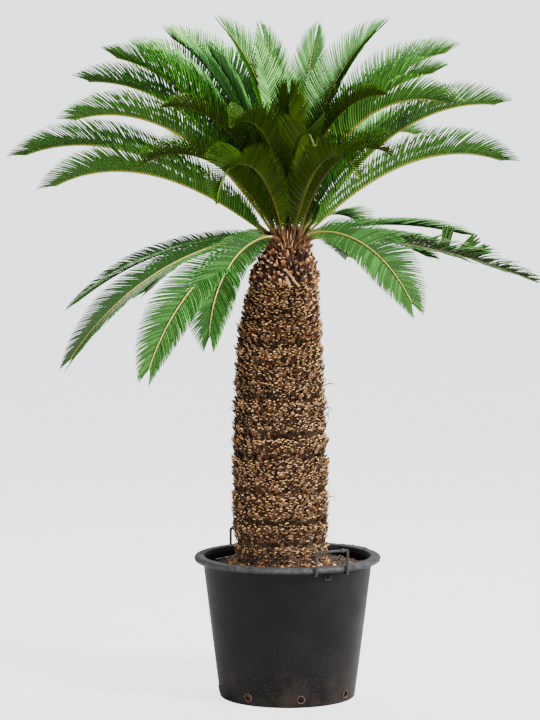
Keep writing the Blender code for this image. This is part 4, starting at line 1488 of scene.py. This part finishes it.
def make_foot_litter(trunk, rng, materials):
    """Fallen scales heaped round the trunk's foot."""
    total = trunk.litter
    azimuths = rng.uniform(0, 2 * math.pi, total)
    away = rng.uniform(0, 1, total) ** LITTER_CROWDING
    radius = LITTER_RADIUS + LITTER_REACH * away
    heights = SOIL_TOP + LITTER_RISE * (1 - away) + rng.uniform(0, LITTER_LIFT, total)
    rises = np.radians(rng.uniform(*LITTER_RISES, total))
    axes = bar_axes(azimuths, rises, rng.normal(0, LITTER_SKEW, total), rng.normal(0, LITTER_ROLL, total))
    spans = rng.uniform(*LITTER_SPANS, total)
    middle = TRUNK_LEAN[0][1]
    roots = np.stack([middle + radius * np.cos(azimuths), radius * np.sin(azimuths), heights], 1)
    roots -= axes[0] * (spans * 0.5)[:, None]
    widths = (rng.uniform(*LITTER_WIDTHS, total), rng.uniform(*LITTER_DEPTHS, total))
    look = deal(rng, LITTER_SIDE, total)
    bars = (roots, axes, widths, spans)
    return bars_object("foot_litter", bars, ARCHED, SCALE_SECTIONS, (look, look, look), materials)


def make_fibres():
    """A few dry curled fibres that stand out of the bark."""
    tubes = []
    for azimuth, height, out, aside, rise in FIBRES:
        outward = turn_direction(azimuth)
        sideways = turn_direction(azimuth + 90)
        middle = Vector((float(trunk_lean(height)), 0, height))
        start = outward * float(trunk_radius(height) - FIBRE_SUNK) + middle
        points = []
        radii = []
        for step in range(FIBRE_STEPS + 1):
            share = step / FIBRE_STEPS
            bow = math.sin(math.pi * share * 0.5)
            lift = FIBRE_ARCH * math.sin(math.pi * share) + rise * share**2
            point = start + outward * (out + FIBRE_BOW) * bow + sideways * aside * share
            points.append(point + UP * lift)
            radii.append(FIBRE_RADIUS * (1 - FIBRE_TAPER * share))
        tubes.append(swept_tube("dry_fibre", points, radii, 8))
    return join(tubes)


class SAGO_OT_trunk(bpy.types.Operator):
    """Model the trunk: matted bark, old leaf bases, cut stubs, woolly spikes and dry fibres"""

    bl_idname = "sago.trunk"
    bl_label = "Trunk"

    def execute(self, context):
        trunk = context.scene.sago_trunk
        materials = bark_materials(trunk)
        core = make_trunk_core()
        take(core)
        bpy.ops.object.shade_smooth()
        set_materials(core, [inner_bark(trunk)])
        finish_piece(core, "trunk_bark", ["trunk"])
        rng = np.random.default_rng(SEED + 1)
        finish_piece(make_scales(trunk, rng, materials), "trunk_scales", ["trunk"])
        cut = make_stub_rows(rng, materials, trunk.stubs, CUT_STUB, True)
        pointed = make_stub_rows(rng, materials, trunk.stubs * 4, POINTED_STUB, False)
        slivers = make_slivers(materials)
        finish_piece(join([cut, pointed, slivers]), "crown_stubs", ["trunk"])
        finish_piece(make_spikes(trunk, rng, materials), "crown_spikes")
        finish_piece(make_foot_litter(trunk, rng, materials), "foot_litter")
        fibres = make_fibres()
        set_materials(fibres, [plain_material("dry_fibre", tone(trunk.brown, 0.5), 0.8, 0.3)])
        finish_piece(fibres, "dry_fibres")
        return {"FINISHED"}


# Fronds: the same rule as the solids

def crown_middle():
    return np.array([TRUNK_LEAN[-1][1], 0.0])


def frond_feet():
    """Where each petiole leaves the trunk's top: the steeper the frond, the nearer the middle."""
    order = sorted(range(len(FRONDS)), key=lambda k: -FRONDS[k].rise)
    feet = np.zeros((len(FRONDS), 2))
    for rank, index in enumerate(order):
        radius = FOOT_SPREAD_RADIUS * math.sqrt((rank + 0.5) / len(FRONDS))
        angle = math.radians(FRONDS[index].azimuth)
        feet[index] = (radius * math.cos(angle), radius * math.sin(angle))
    for _ in range(FOOT_SPREAD_ROUNDS):
        for k in range(len(feet)):
            apart = feet - feet[k]
            distance = np.hypot(apart[:, 0], apart[:, 1])
            distance[k] = FOOT_PITCH
            push = np.clip(FOOT_PITCH - distance, 0, None) / 2
            feet += apart * (push / np.maximum(distance, TINY))[:, None]
        reach = np.hypot(feet[:, 0], feet[:, 1])
        feet *= np.minimum(1, FOOT_SPREAD_RADIUS / reach)[:, None]
    return feet + crown_middle()


def rib_angles(frond, share):
    """Elevation and azimuth in radians of the rib at a share of its length."""
    power = HABITS[frond.habit].power
    foot = np.clip(1 - share * frond.length / FOOT_BEND, 0, 1) ** 2
    elevation = frond.rise - frond.droop * share**power + (FOOT_ELEVATION - frond.rise) * foot
    return np.radians(elevation), np.radians(frond.azimuth + frond.swing * share)


def rib_line(frond, foot):
    """Points along the rib, from the foot of the petiole to the tip."""
    steps = np.linspace(0, 1, RIB_STEPS + 1)
    elevation, azimuth = rib_angles(frond, (steps[1:] + steps[:-1]) / 2)
    level = np.cos(elevation)
    moves = np.stack([level * np.cos(azimuth), level * np.sin(azimuth), np.sin(elevation)], 1)
    start = np.array([foot[0], foot[1], crown_height(np.hypot(*(foot - crown_middle()))) + GAP])
    line = np.vstack([np.zeros(3), np.cumsum(moves * frond.length / RIB_STEPS, 0)])
    return start + line


def rib_frames(frond, line, shares):
    """Points, directions, sideways and upward axes of the rib at several shares of its length."""
    steps = np.linspace(0, 1, RIB_STEPS + 1)
    points = np.stack([np.interp(shares, steps, line[:, axis]) for axis in range(3)], 1)
    elevation, azimuth = rib_angles(frond, shares)
    level = np.cos(elevation)
    along = np.stack([level * np.cos(azimuth), level * np.sin(azimuth), np.sin(elevation)], 1)
    side = np.stack([np.sin(azimuth), -np.cos(azimuth), np.zeros_like(azimuth)], 1)
    up = np.cross(side, along)
    roll = math.radians(frond.roll)
    turned_side = side * math.cos(roll) + up * math.sin(roll)
    turned_up = up * math.cos(roll) - side * math.sin(roll)
    return points, along, turned_side, turned_up


def leaf_lengths(frond, shares):
    """Leaves are short at the petiole, longest in the middle and shorter toward the tip."""
    past = np.clip((shares - LEAF_TAPER_START) / (1 - LEAF_TAPER_START), 0, None)
    taper = 1 - LEAF_TAPER_LOSS * past**2
    return HABITS[frond.habit].leaf * np.minimum(1, LEAF_FIRST_SHARE + LEAF_GROWTH * shares) * taper


# Leaflets

# Parts of a leaflet: inner and outer part of each of its four sides, then its foot and its tip
OUTER = 4
FOOT_PART = 8
TIP_PART = 9
LEAF_GLOSS = {"young": 0.08, "mature": 0.22, "old": 0.22}
LEAF_ROUGHNESS = {"young": 0.50, "mature": 0.40, "old": 0.45}


def leaflet_materials(kind, leaves):
    """Looks dealt out to the leaflets: the tones of four colours, then the foot and the tip."""
    gloss = LEAF_GLOSS[kind]
    looks = []
    for part in (f"{kind}_upper", f"{kind}_under", "pale_upper", "vivid_upper"):
        for k, factor in enumerate(TONES):
            base = tone(getattr(leaves, part), factor)
            looks.append(plain_material(f"{part}_{k}", base, LEAF_ROUGHNESS[kind], gloss))
    looks.append(plain_material(f"{kind}_leaflet_foot", getattr(leaves, f"{kind}_rib"), 0.5, gloss))
    tip = leaves.old_tip if kind == "old" else tone(getattr(leaves, f"{kind}_upper"), 2.2)
    looks.append(plain_material(f"{kind}_leaflet_tip", tip, 0.6, gloss))
    return looks


def blade_pattern():
    """Faces of one leaflet, and the part of it that each belongs to."""
    sections = len(LEAFLET_STATIONS)
    faces = [(0, 1, 2, 3)]
    parts = [FOOT_PART]
    for k in range(sections - 1):
        for side in range(4):
            after = (side + 1) % 4
            low = 4 * k
            faces.append((low + side, low + 4 + side, low + 4 + after, low + after))
            own = side if k < sections - 2 else side + OUTER
            parts.append(FOOT_PART if k == 0 else own)
    last = 4 * (sections - 1)
    for side in range(4):
        faces.append((last + side, last + 4, last + (side + 1) % 4))
        parts.append(TIP_PART if side < 2 else side + OUTER)
    return faces, np.array(parts)


def blades(roots, axes, hand, angles, keels, lengths, widths, thickness, carriage):
    """Points of many leaflets: each sweeps forward and falls a little from its foot to its tip."""
    along, outward_flat, up = axes
    stations = np.array(LEAFLET_STATIONS + (1.0,))
    points = []
    middle = roots
    for k, station in enumerate(stations):
        angle = np.radians(angles + carriage.open - carriage.sweep * station)[:, None]
        keel = np.radians(keels - carriage.fall * station)[:, None]
        outward = outward_flat * np.cos(keel) + up * np.sin(keel)
        direction = along * np.cos(angle) + outward * np.sin(angle)
        over = up * np.cos(keel) - outward_flat * np.sin(keel)
        tilt = math.radians(carriage.tilt)
        flat = np.cross(over, direction)
        across = flat * math.cos(tilt) + over * (math.sin(tilt) * hand)
        over = np.cross(direction, across)
        if k:
            step = station - stations[k - 1]
            middle = middle + (direction + before) / 2 * (lengths * step)[:, None]
        before = direction
        if k == len(LEAFLET_STATIONS):
            points.append(middle)
            break
        half = (widths * LEAFLET_SWELL[k] / 2)[:, None]
        body = thickness * LEAFLET_BODY[k]
        curl = over * (body * BODY_BELOW + half * LEAFLET_CURL)
        points.append(middle - across * half - curl)
        points.append(middle + over * body * BODY_ABOVE)
        points.append(middle + across * half - curl)
        points.append(middle - over * body * BODY_BELOW)
    return np.stack(points, 1)


def is_behind(frond):
    return BEHIND_ARC[0] < frond.azimuth < BEHIND_ARC[1] and frond.rise > BEHIND_RISE


def is_standing(frond):
    return frond.habit == "young" and frond.droop < STANDING_DROOP


def carriage_of(frond):
    if frond == FRONDS[TUFT_FROND]:
        return CARRIAGES["curled"]
    return CARRIAGES["standing" if is_standing(frond) else frond.habit]


def first_upper(frond, hand):
    """First of the four tones of the upper sides of one side of a frond: the fronds behind are paler with
    painted sunlight.
    """
    if not is_behind(frond):
        return UPPER
    turned_away = frond.roll * hand < 0 and frond.droop > VIVID_DROOP
    return VIVID if is_standing(frond) and turned_away else PALE


def tone_shares(frond):
    """How often a leaflet is of the second, third or fourth tone: the low fronds differ most."""
    if frond.habit != "old":
        return TONE_SHARES
    return SHADED_TONE_SHARES if abs(frond.azimuth) > SHADED_AZIMUTH else OLD_TONE_SHARES


def halves_with_painted_shade(first, tones, hand):
    """Looks of the left and right half of each leaflet, of which the half toward the rib's foot is dark
    with painted shade.
    """
    light = first + tones
    dark = first + np.maximum(0, tones - DARK_STEP)
    return (light, dark) if hand > 0 else (dark, light)


def deal_leaflets(frond, shares, rng, hand):
    """Looks of the ten parts of each leaflet of one side of a frond."""
    total = len(shares)
    first = first_upper(frond, hand)
    inner = rng.choice((1, 2, 3), total, p=tone_shares(frond))
    outer = np.minimum(3, inner + rng.choice(2, total, p=(0.3, 0.7)))
    low_inner = rng.choice((1, 2), total)
    low_outer = rng.choice((2, 3), total)
    low_first = UPPER if frond == FRONDS[TUFT_FROND] else UNDER
    # Painted shade: one half of each leaflet is darker, above and below.
    over = list(halves_with_painted_shade(first, inner, hand))
    over_outer = list(halves_with_painted_shade(first, outer, hand))
    under = list(halves_with_painted_shade(UNDER, low_inner, -hand))
    under_outer = list(halves_with_painted_shade(low_first, low_outer, -hand))
    foot = np.full(total, FOOT) if frond.habit == "mature" else under[0]
    tip = np.where(rng.uniform(0, 1, total) < 0.5, TIP, first + outer)
    if frond.habit == "old":
        dry = rng.uniform(0, 1, total) < np.clip((shares - DRY_START) / DRY_REACH, 0, DRY_MOST)
        tip = np.where(dry, TIP, first + outer)
        half_dry = dry & (rng.uniform(0, 1, total) < 0.5)
        over_outer[0] = np.where(half_dry, TIP, over_outer[0])
    return np.stack(over + under + over_outer + under_outer + [foot, tip], 1)


def frond_leaflets(frond, line, rng, leaves):
    """Points and dealt looks of all the leaflets of one frond."""
    habit = HABITS[frond.habit]
    carriage = carriage_of(frond)
    width = getattr(leaves, frond.habit + "_width")
    pitch = getattr(leaves, frond.habit + "_pitch")
    all_points = []
    all_looks = []
    _, pattern = blade_pattern()
    first = habit.bare + LEAFLET_FIRST_GAP - EARLY_START
    places = np.arange(first, frond.length * LEAFLET_LAST_SHARE, pitch)
    early = np.clip(EARLY_SHARE + (places - first) / EARLY_STRETCH, 0, 1)
    total = len(places)
    wave = np.zeros(total)
    for wave_length, share in WAVES:
        phase = rng.uniform(0, 2 * math.pi)
        wave += np.sin(places / wave_length * 2 * math.pi + phase) * carriage.wave * share
    for sign in (-1, 1):
        shares = (places + rng.normal(0, LEAFLET_STRAY, total)) / frond.length
        roots, along, side, up = rib_frames(frond, line, shares)
        past = np.clip((shares - TIP_START) / (1 - TIP_START), 0, 1) ** 2
        angles = LEAF_ANGLE - LEAF_ANGLE_DROP * shares + rng.normal(0, carriage.jitter, total) + wave
        angles = angles - carriage.close * past
        uneven = rng.normal(0, carriage.jitter * KEEL_UNEVENNESS, total)
        keels = habit.keel + uneven - wave + carriage.fold * past
        lengths = leaf_lengths(frond, shares) * rng.uniform(*LEAFLET_LENGTHS, total) * early
        lengths = lengths * (1 - carriage.shrink * past)
        grown = np.minimum(1, lengths / habit.leaf)
        widths = width * (LEAFLET_NARROWEST + (1 - LEAFLET_NARROWEST) * grown)
        widths = widths * rng.uniform(*LEAFLET_WIDTHS, total)
        half_rib = rib_half_width(shares)[:, None]
        roots = roots + side * sign * half_rib * LEAFLET_ROOT_SIDE - up * LEAFLET_ROOT_DROP
        axes = (along, side * sign, up)
        all_points.append(
            blades(roots, axes, sign, angles, keels, lengths, widths, leaves.thickness, carriage)
        )
        all_looks.append(deal_leaflets(frond, shares, rng, sign)[:, pattern])
    return np.concatenate(all_points), np.concatenate(all_looks)


def leaflet_object(name, points, looks, pattern, kind, leaves):
    """Joins the leaflets' points, each leaflet with its own run of them, into one object."""
    total, each = points.shape[:2]
    faces = [tuple(each * k + corner for corner in face) for k in range(total) for face in pattern]
    return mesh_object(name, points.reshape(-1, 3), faces, leaflet_materials(kind, leaves), looks.ravel())


def make_leaflets(kind, fronds, leaves, rng):
    """One joined piece of all the leaflets of the fronds of one age."""
    pattern, _ = blade_pattern()
    points = []
    looks = []
    for frond, line in fronds:
        some_points, some_looks = frond_leaflets(frond, line, rng, leaves)
        points.append(some_points)
        looks.append(some_looks)
    return leaflet_object(
        f"{kind}_leaflets", np.concatenate(points), np.concatenate(looks), pattern, kind, leaves
    )


# Ribs

RIB_TOP, RIB_SIDE, RIB_UNDER, RIB_FOOT = range(4)
# Distances up a rib of its first sections, and where its even ones start
RIB_FOOT_PLACES = (0, 0.012, 0.03, 0.055)
RIB_EVEN_START = 0.09
# How much a petiole swells at its foot and over which length, how far it is sunk, and how far it is woolly
FOOT_SWELL = 0.9
FOOT_SWELL_REACH = 0.060
FOOT_SUNK = 0.012
WOOLLY_REACH = 0.05
# How light a rib's top, sides and under side are beside its base colour: painted light on the top, painted
# shade on the sides and under side
RIB_TONES = {"young": (1.0, 1.0, 0.5), "mature": (1.3, 0.50, 0.32), "old": (1.2, 0.60, 0.50)}


def rib_materials(kind, leaves):
    base = getattr(leaves, f"{kind}_rib")
    # The young ribs' sides and under side take a darker colour: painted shade.
    low = leaves.rib_shade if kind == "young" else base
    top, side, under = RIB_TONES[kind]
    return [
        plain_material(f"{kind}_rib_top", tone(base, top), 0.45, 0.2),
        plain_material(f"{kind}_rib_side", tone(low, side), 0.5, 0.2),
        plain_material(f"{kind}_rib_under", tone(low, under), 0.5, 0.2),
        plain_material("petiole_foot", leaves.petiole_foot, 0.8, 0.3),
    ]


def rib_half_width(shares):
    return RIB_HALF_WIDTH - RIB_WIDTH_LOSS * shares


def frond_rib(frond, line):
    """Points, faces and looks of one tapering rib, swollen at its foot."""
    foot_shares = np.array(RIB_FOOT_PLACES) / frond.length
    even_shares = np.linspace(RIB_EVEN_START / frond.length, 1, RIB_STATIONS)
    shares = np.concatenate([foot_shares, even_shares])
    points, _, side, up = rib_frames(frond, line, shares)
    distance = shares * frond.length
    swell = 1 + FOOT_SWELL * np.clip(1 - distance / FOOT_SWELL_REACH, 0, 1)
    half_width = rib_half_width(shares) * swell
    half_depth = (RIB_HALF_DEPTH - RIB_DEPTH_LOSS * shares) * swell
    points[0] -= np.array([0, 0, FOOT_SUNK])
    sides = len(RIB_SECTION)
    rings = []
    for wide, deep in RIB_SECTION:
        rings.append(points + side * (wide * half_width)[:, None] + up * (deep * half_depth)[:, None])
    corners = np.stack(rings, 1).reshape(-1, 3)
    faces = [tuple(range(sides))]
    looks = [RIB_FOOT]
    for k in range(len(shares) - 1):
        for s in range(sides):
            after = (s + 1) % sides
            low = sides * k
            faces.append((low + s, low + sides + s, low + sides + after, low + after))
            own = RIB_TOP if s in (1, 2) else (RIB_UNDER if s in (5, 6) else RIB_SIDE)
            looks.append(RIB_FOOT if distance[k] < WOOLLY_REACH else own)
    last = sides * (len(shares) - 1)
    faces.append(tuple(last + s for s in reversed(range(sides))))
    looks.append(RIB_SIDE)
    return corners, faces, looks


def make_ribs(kind, fronds, leaves):
    points = []
    faces = []
    looks = []
    start = 0
    for frond, line in fronds:
        some_points, some_faces, some_looks = frond_rib(frond, line)
        points.append(some_points)
        faces.extend([tuple(start + corner for corner in face) for face in some_faces])
        looks.extend(some_looks)
        start += len(some_points)
    return mesh_object(f"{kind}_ribs", np.concatenate(points), faces, rib_materials(kind, leaves), looks)


# Spines and tufts

# Spines: how far apart they stand and stray, where they start, their angle to the rib in radians, the
# length of the first and growth to the last with its least and most, how far out they root, their size
SPINE_PITCH = 0.0085
SPINE_STRAY = 0.001
SPINE_START = 0.045
SPINE_LEAN = 1.0
SPINE_SHORTEST = 0.006
SPINE_GROWTH = 0.020
SPINE_GROWTHS = (0.7, 1.2)
SPINE_ROOT = 0.0030
SPINE_WIDTH = 0.0028
SPINE_DEPTH = 0.0022


def make_spines(kind, fronds, rng, leaves):
    """Short spines along the bare petioles, where leaflets never grew."""
    habit = HABITS[kind]
    keel = math.radians(habit.keel)
    parts = []
    for frond, line in fronds:
        for sign in (-1, 1):
            places = np.arange(SPINE_START, habit.bare, SPINE_PITCH)
            places = places + rng.normal(0, SPINE_STRAY, len(places))
            points, along, side, up = rib_frames(frond, line, places / frond.length)
            outward = side * sign * math.cos(keel) + up * math.sin(keel)
            direction = along * math.cos(SPINE_LEAN) + outward * math.sin(SPINE_LEAN)
            across = np.cross(up * math.cos(keel) - side * sign * math.sin(keel), direction)
            growth = SPINE_GROWTH * (places / habit.bare) ** 2
            growth = growth * rng.uniform(*SPINE_GROWTHS, len(places))
            roots = points + side * sign * SPINE_ROOT
            parts.append((roots, direction, across, np.cross(direction, across), SPINE_SHORTEST + growth))
    roots, direction, across, over, spans = (np.concatenate(column) for column in zip(*parts))
    widths = (np.full(len(spans), SPINE_WIDTH), np.full(len(spans), SPINE_DEPTH))
    bars = (roots, (direction, across, over), widths, spans)
    look = np.zeros(len(spans))
    materials = [plain_material(f"{kind}_spine", tone(getattr(leaves, f"{kind}_rib"), 0.5), 0.55)]
    return bars_object(f"{kind}_spines", bars, ROUNDED, SPINE_SECTIONS, (look, look, look), materials)


def make_tufts(line, leaves, rng):
    """Bunches of leaflets stuck together that stand up from one old frond."""
    frond = FRONDS[TUFT_FROND]
    pattern, parts = blade_pattern()
    points = []
    looks = []
    for tuft in TUFTS:
        root, along, side, up = rib_frames(frond, line, np.array([tuft.share]))
        lean = math.radians(tuft.lean)
        stand = up * math.cos(lean) + along * math.sin(lean)
        ahead = along * math.cos(lean) - up * math.sin(lean)
        spread = np.linspace(-1, 1, tuft.count)
        roots = root + along * (spread * TUFT_FOOT_SPREAD)[:, None]
        angles = 90 - spread * TUFT_FAN - tuft.turn
        lengths = tuft.reach * rng.uniform(*TUFT_LENGTHS, tuft.count)
        widths = np.full(tuft.count, leaves.old_width * TUFT_BREADTH)
        keels = rng.normal(TUFT_KEEL, TUFT_KEEL_SPREAD, tuft.count)
        axes = [np.repeat(axis, tuft.count, 0) for axis in (ahead, side, stand)]
        points.append(
            blades(roots, axes, 1, angles, keels, lengths, widths, leaves.thickness, TUFT_CARRIAGE)
        )
        over = [tuft.look, tuft.look - 1]
        under = [UNDER + 1, UNDER + 2]
        choice = np.array(over + under + over + under + [FOOT, TIP])
        looks.append(np.tile(choice[parts], (tuft.count, 1)))
    points = np.concatenate(points)
    return leaflet_object("old_tufts", points, np.concatenate(looks), pattern, "old", leaves)


class SAGO_OT_fronds(bpy.types.Operator):
    """Grow the ribs, leaflets and spines of all the fronds by the solids' own rule"""

    bl_idname = "sago.fronds"
    bl_label = "Fronds"

    def execute(self, context):
        leaves = context.scene.sago_leaves
        feet = frond_feet()
        lines = [rib_line(frond, foot) for frond, foot in zip(FRONDS, feet)]
        for offset, kind in enumerate(HABITS):
            rng = np.random.default_rng(SEED + 10 + offset)
            fronds = [(frond, line) for frond, line in zip(FRONDS, lines) if frond.habit == kind]
            nodes = nodes_named(kind + "_frond")
            leaflets = make_leaflets(kind, fronds, leaves, rng)
            finish_piece(leaflets, f"{kind}_leaflets", nodes)
            ribs = make_ribs(kind, fronds, leaves)
            take(ribs)
            bpy.ops.object.shade_smooth_by_angle(angle=math.radians(50))
            finish_piece(ribs, f"{kind}_ribs", nodes)
            finish_piece(make_spines(kind, fronds, rng, leaves), f"{kind}_spines")
        tufts = make_tufts(lines[TUFT_FROND], leaves, np.random.default_rng(SEED + 20))
        finish_piece(tufts, "old_tufts")
        return {"FINISHED"}


# Stage

LAMPS = (
    # Place, size across and which of the settings gives the power
    ((4.6, -3.4, 4.9), 1.6, "key_power"),
    ((-4.2, -4.6, 1.5), 3.0, "fill_power"),
    ((0.4, 2.6, 5.4), 3.0, "top_power"),
)
LAMP_TARGET = (0, 0, 1.35)
FLOOR_RADIUS = 60
SENSOR_WIDTH = 36
LAMP_COLOUR = (1.0, 0.96, 0.87)


def pale_floor(stage):
    """A pale floor that shows as bright as the backdrop, with a soft shadow under the pot."""
    material = plain_material("pale_floor", stage.floor, 0.9, 0.2)
    tree = material.node_tree
    shown = add_node(tree, "Emission", Color=stage.sky, Strength=stage.shown_strength)
    path = add_node(tree, "LightPath")
    share = multiply(tree, path.outputs["Is Camera Ray"], 1 - stage.shadow_share)
    own = tree.nodes["Principled BSDF"].outputs[0]
    mixed = add_node(tree, "MixShader", _0=share, _1=own, _2=shown.outputs[0])
    tree.links.new(mixed.outputs[0], tree.nodes["Material Output"].inputs["Surface"])
    return material


def mixed_brightness(stage):
    """Brightness of the floor far from the lamps, so that the backdrop meets it without a line."""
    own = stage.sky_strength * stage.floor[1]
    return stage.shown_strength * (1 - stage.shadow_share) + own * stage.shadow_share


def even_light(stage):
    """Even light from all round, which the camera sees as a plain bright backdrop."""
    world = bpy.data.worlds.new("surroundings")
    world.use_nodes = True
    tree = world.node_tree
    background = tree.nodes["Background"]
    background.inputs["Color"].default_value = (*stage.sky, 1)
    path = add_node(tree, "LightPath")
    strength = add_node(
        tree,
        "MapRange",
        Value=path.outputs["Is Camera Ray"],
        To_Min=stage.sky_strength,
        To_Max=mixed_brightness(stage),
    )
    tree.links.new(strength.outputs[0], background.inputs["Strength"])
    return world


class SAGO_OT_stage(bpy.types.Operator):
    """Set up the pale floor, the soft lamps and the camera"""

    bl_idname = "sago.stage"
    bl_label = "Stage"

    def execute(self, context):
        stage = context.scene.sago_stage
        deselect()
        bpy.ops.mesh.primitive_circle_add(vertices=96, radius=FLOOR_RADIUS, fill_type="NGON")
        floor = bpy.context.object
        floor.name = "floor"
        set_materials(floor, [pale_floor(stage)])
        for place, size, power in LAMPS:
            data = bpy.data.lights.new(power, "AREA")
            data.shape = "DISK"
            data.size = size
            data.energy = getattr(stage, power)
            data.color = LAMP_COLOUR
            lamp = bpy.data.objects.new(power, data)
            lamp.location = place
            aim = Vector(LAMP_TARGET) - Vector(place)
            lamp.rotation_euler = aim.to_track_quat("-Z", "Y").to_euler()
            lamp.visible_camera = False
            context.scene.collection.objects.link(lamp)
        context.scene.world = even_light(stage)
        data = bpy.data.cameras.new("camera")
        data.lens = CAMERA_LENS
        data.sensor_width = SENSOR_WIDTH
        camera = bpy.data.objects.new("camera", data)
        camera.location = CAMERA_PLACE
        camera.rotation_euler = (math.radians(90 - CAMERA_PITCH), 0, 0)
        context.scene.collection.objects.link(camera)
        context.scene.camera = camera
        return {"FINISHED"}


class SAGO_PT_panel(bpy.types.Panel):
    """Sizes, colours and steps of the potted sago palm"""

    bl_idname = "SAGO_PT_panel"
    bl_label = "Sago Palm"
    bl_space_type = "VIEW_3D"
    bl_region_type = "UI"
    bl_category = "Sago Palm"

    def draw(self, context):
        for name, _, operator in STEPS:
            box = self.layout.box()
            box.operator(operator.bl_idname)
            settings = getattr(context.scene, name)
            for key in settings.bl_rna.properties.keys():
                if key not in ("rna_type", "name"):
                    box.prop(settings, key)


# Settings' name on the scene, their group, and the operator that reads them
STEPS = (
    ("sago_stage", StageSettings, SAGO_OT_stage),
    ("sago_pot", PotSettings, SAGO_OT_pot),
    ("sago_grip", GripSettings, SAGO_OT_grips),
    ("sago_soil", SoilSettings, SAGO_OT_soil),
    ("sago_trunk", TrunkSettings, SAGO_OT_trunk),
    ("sago_leaves", FoliageSettings, SAGO_OT_fronds),
)


def register():
    for name, group, operator in STEPS:
        bpy.utils.register_class(group)
        bpy.utils.register_class(operator)
        setattr(bpy.types.Scene, name, bpy.props.PointerProperty(type=group))
    bpy.utils.register_class(SAGO_PT_panel)


def unregister():
    bpy.utils.unregister_class(SAGO_PT_panel)
    for name, group, operator in reversed(STEPS):
        delattr(bpy.types.Scene, name)
        bpy.utils.unregister_class(operator)
        bpy.utils.unregister_class(group)


def main():
    register()
    bpy.ops.sago.stage()
    bpy.ops.sago.pot()
    bpy.ops.sago.grips()
    bpy.ops.sago.soil()
    bpy.ops.sago.trunk()
    bpy.ops.sago.fronds()


if __name__ == "__main__":
    main()
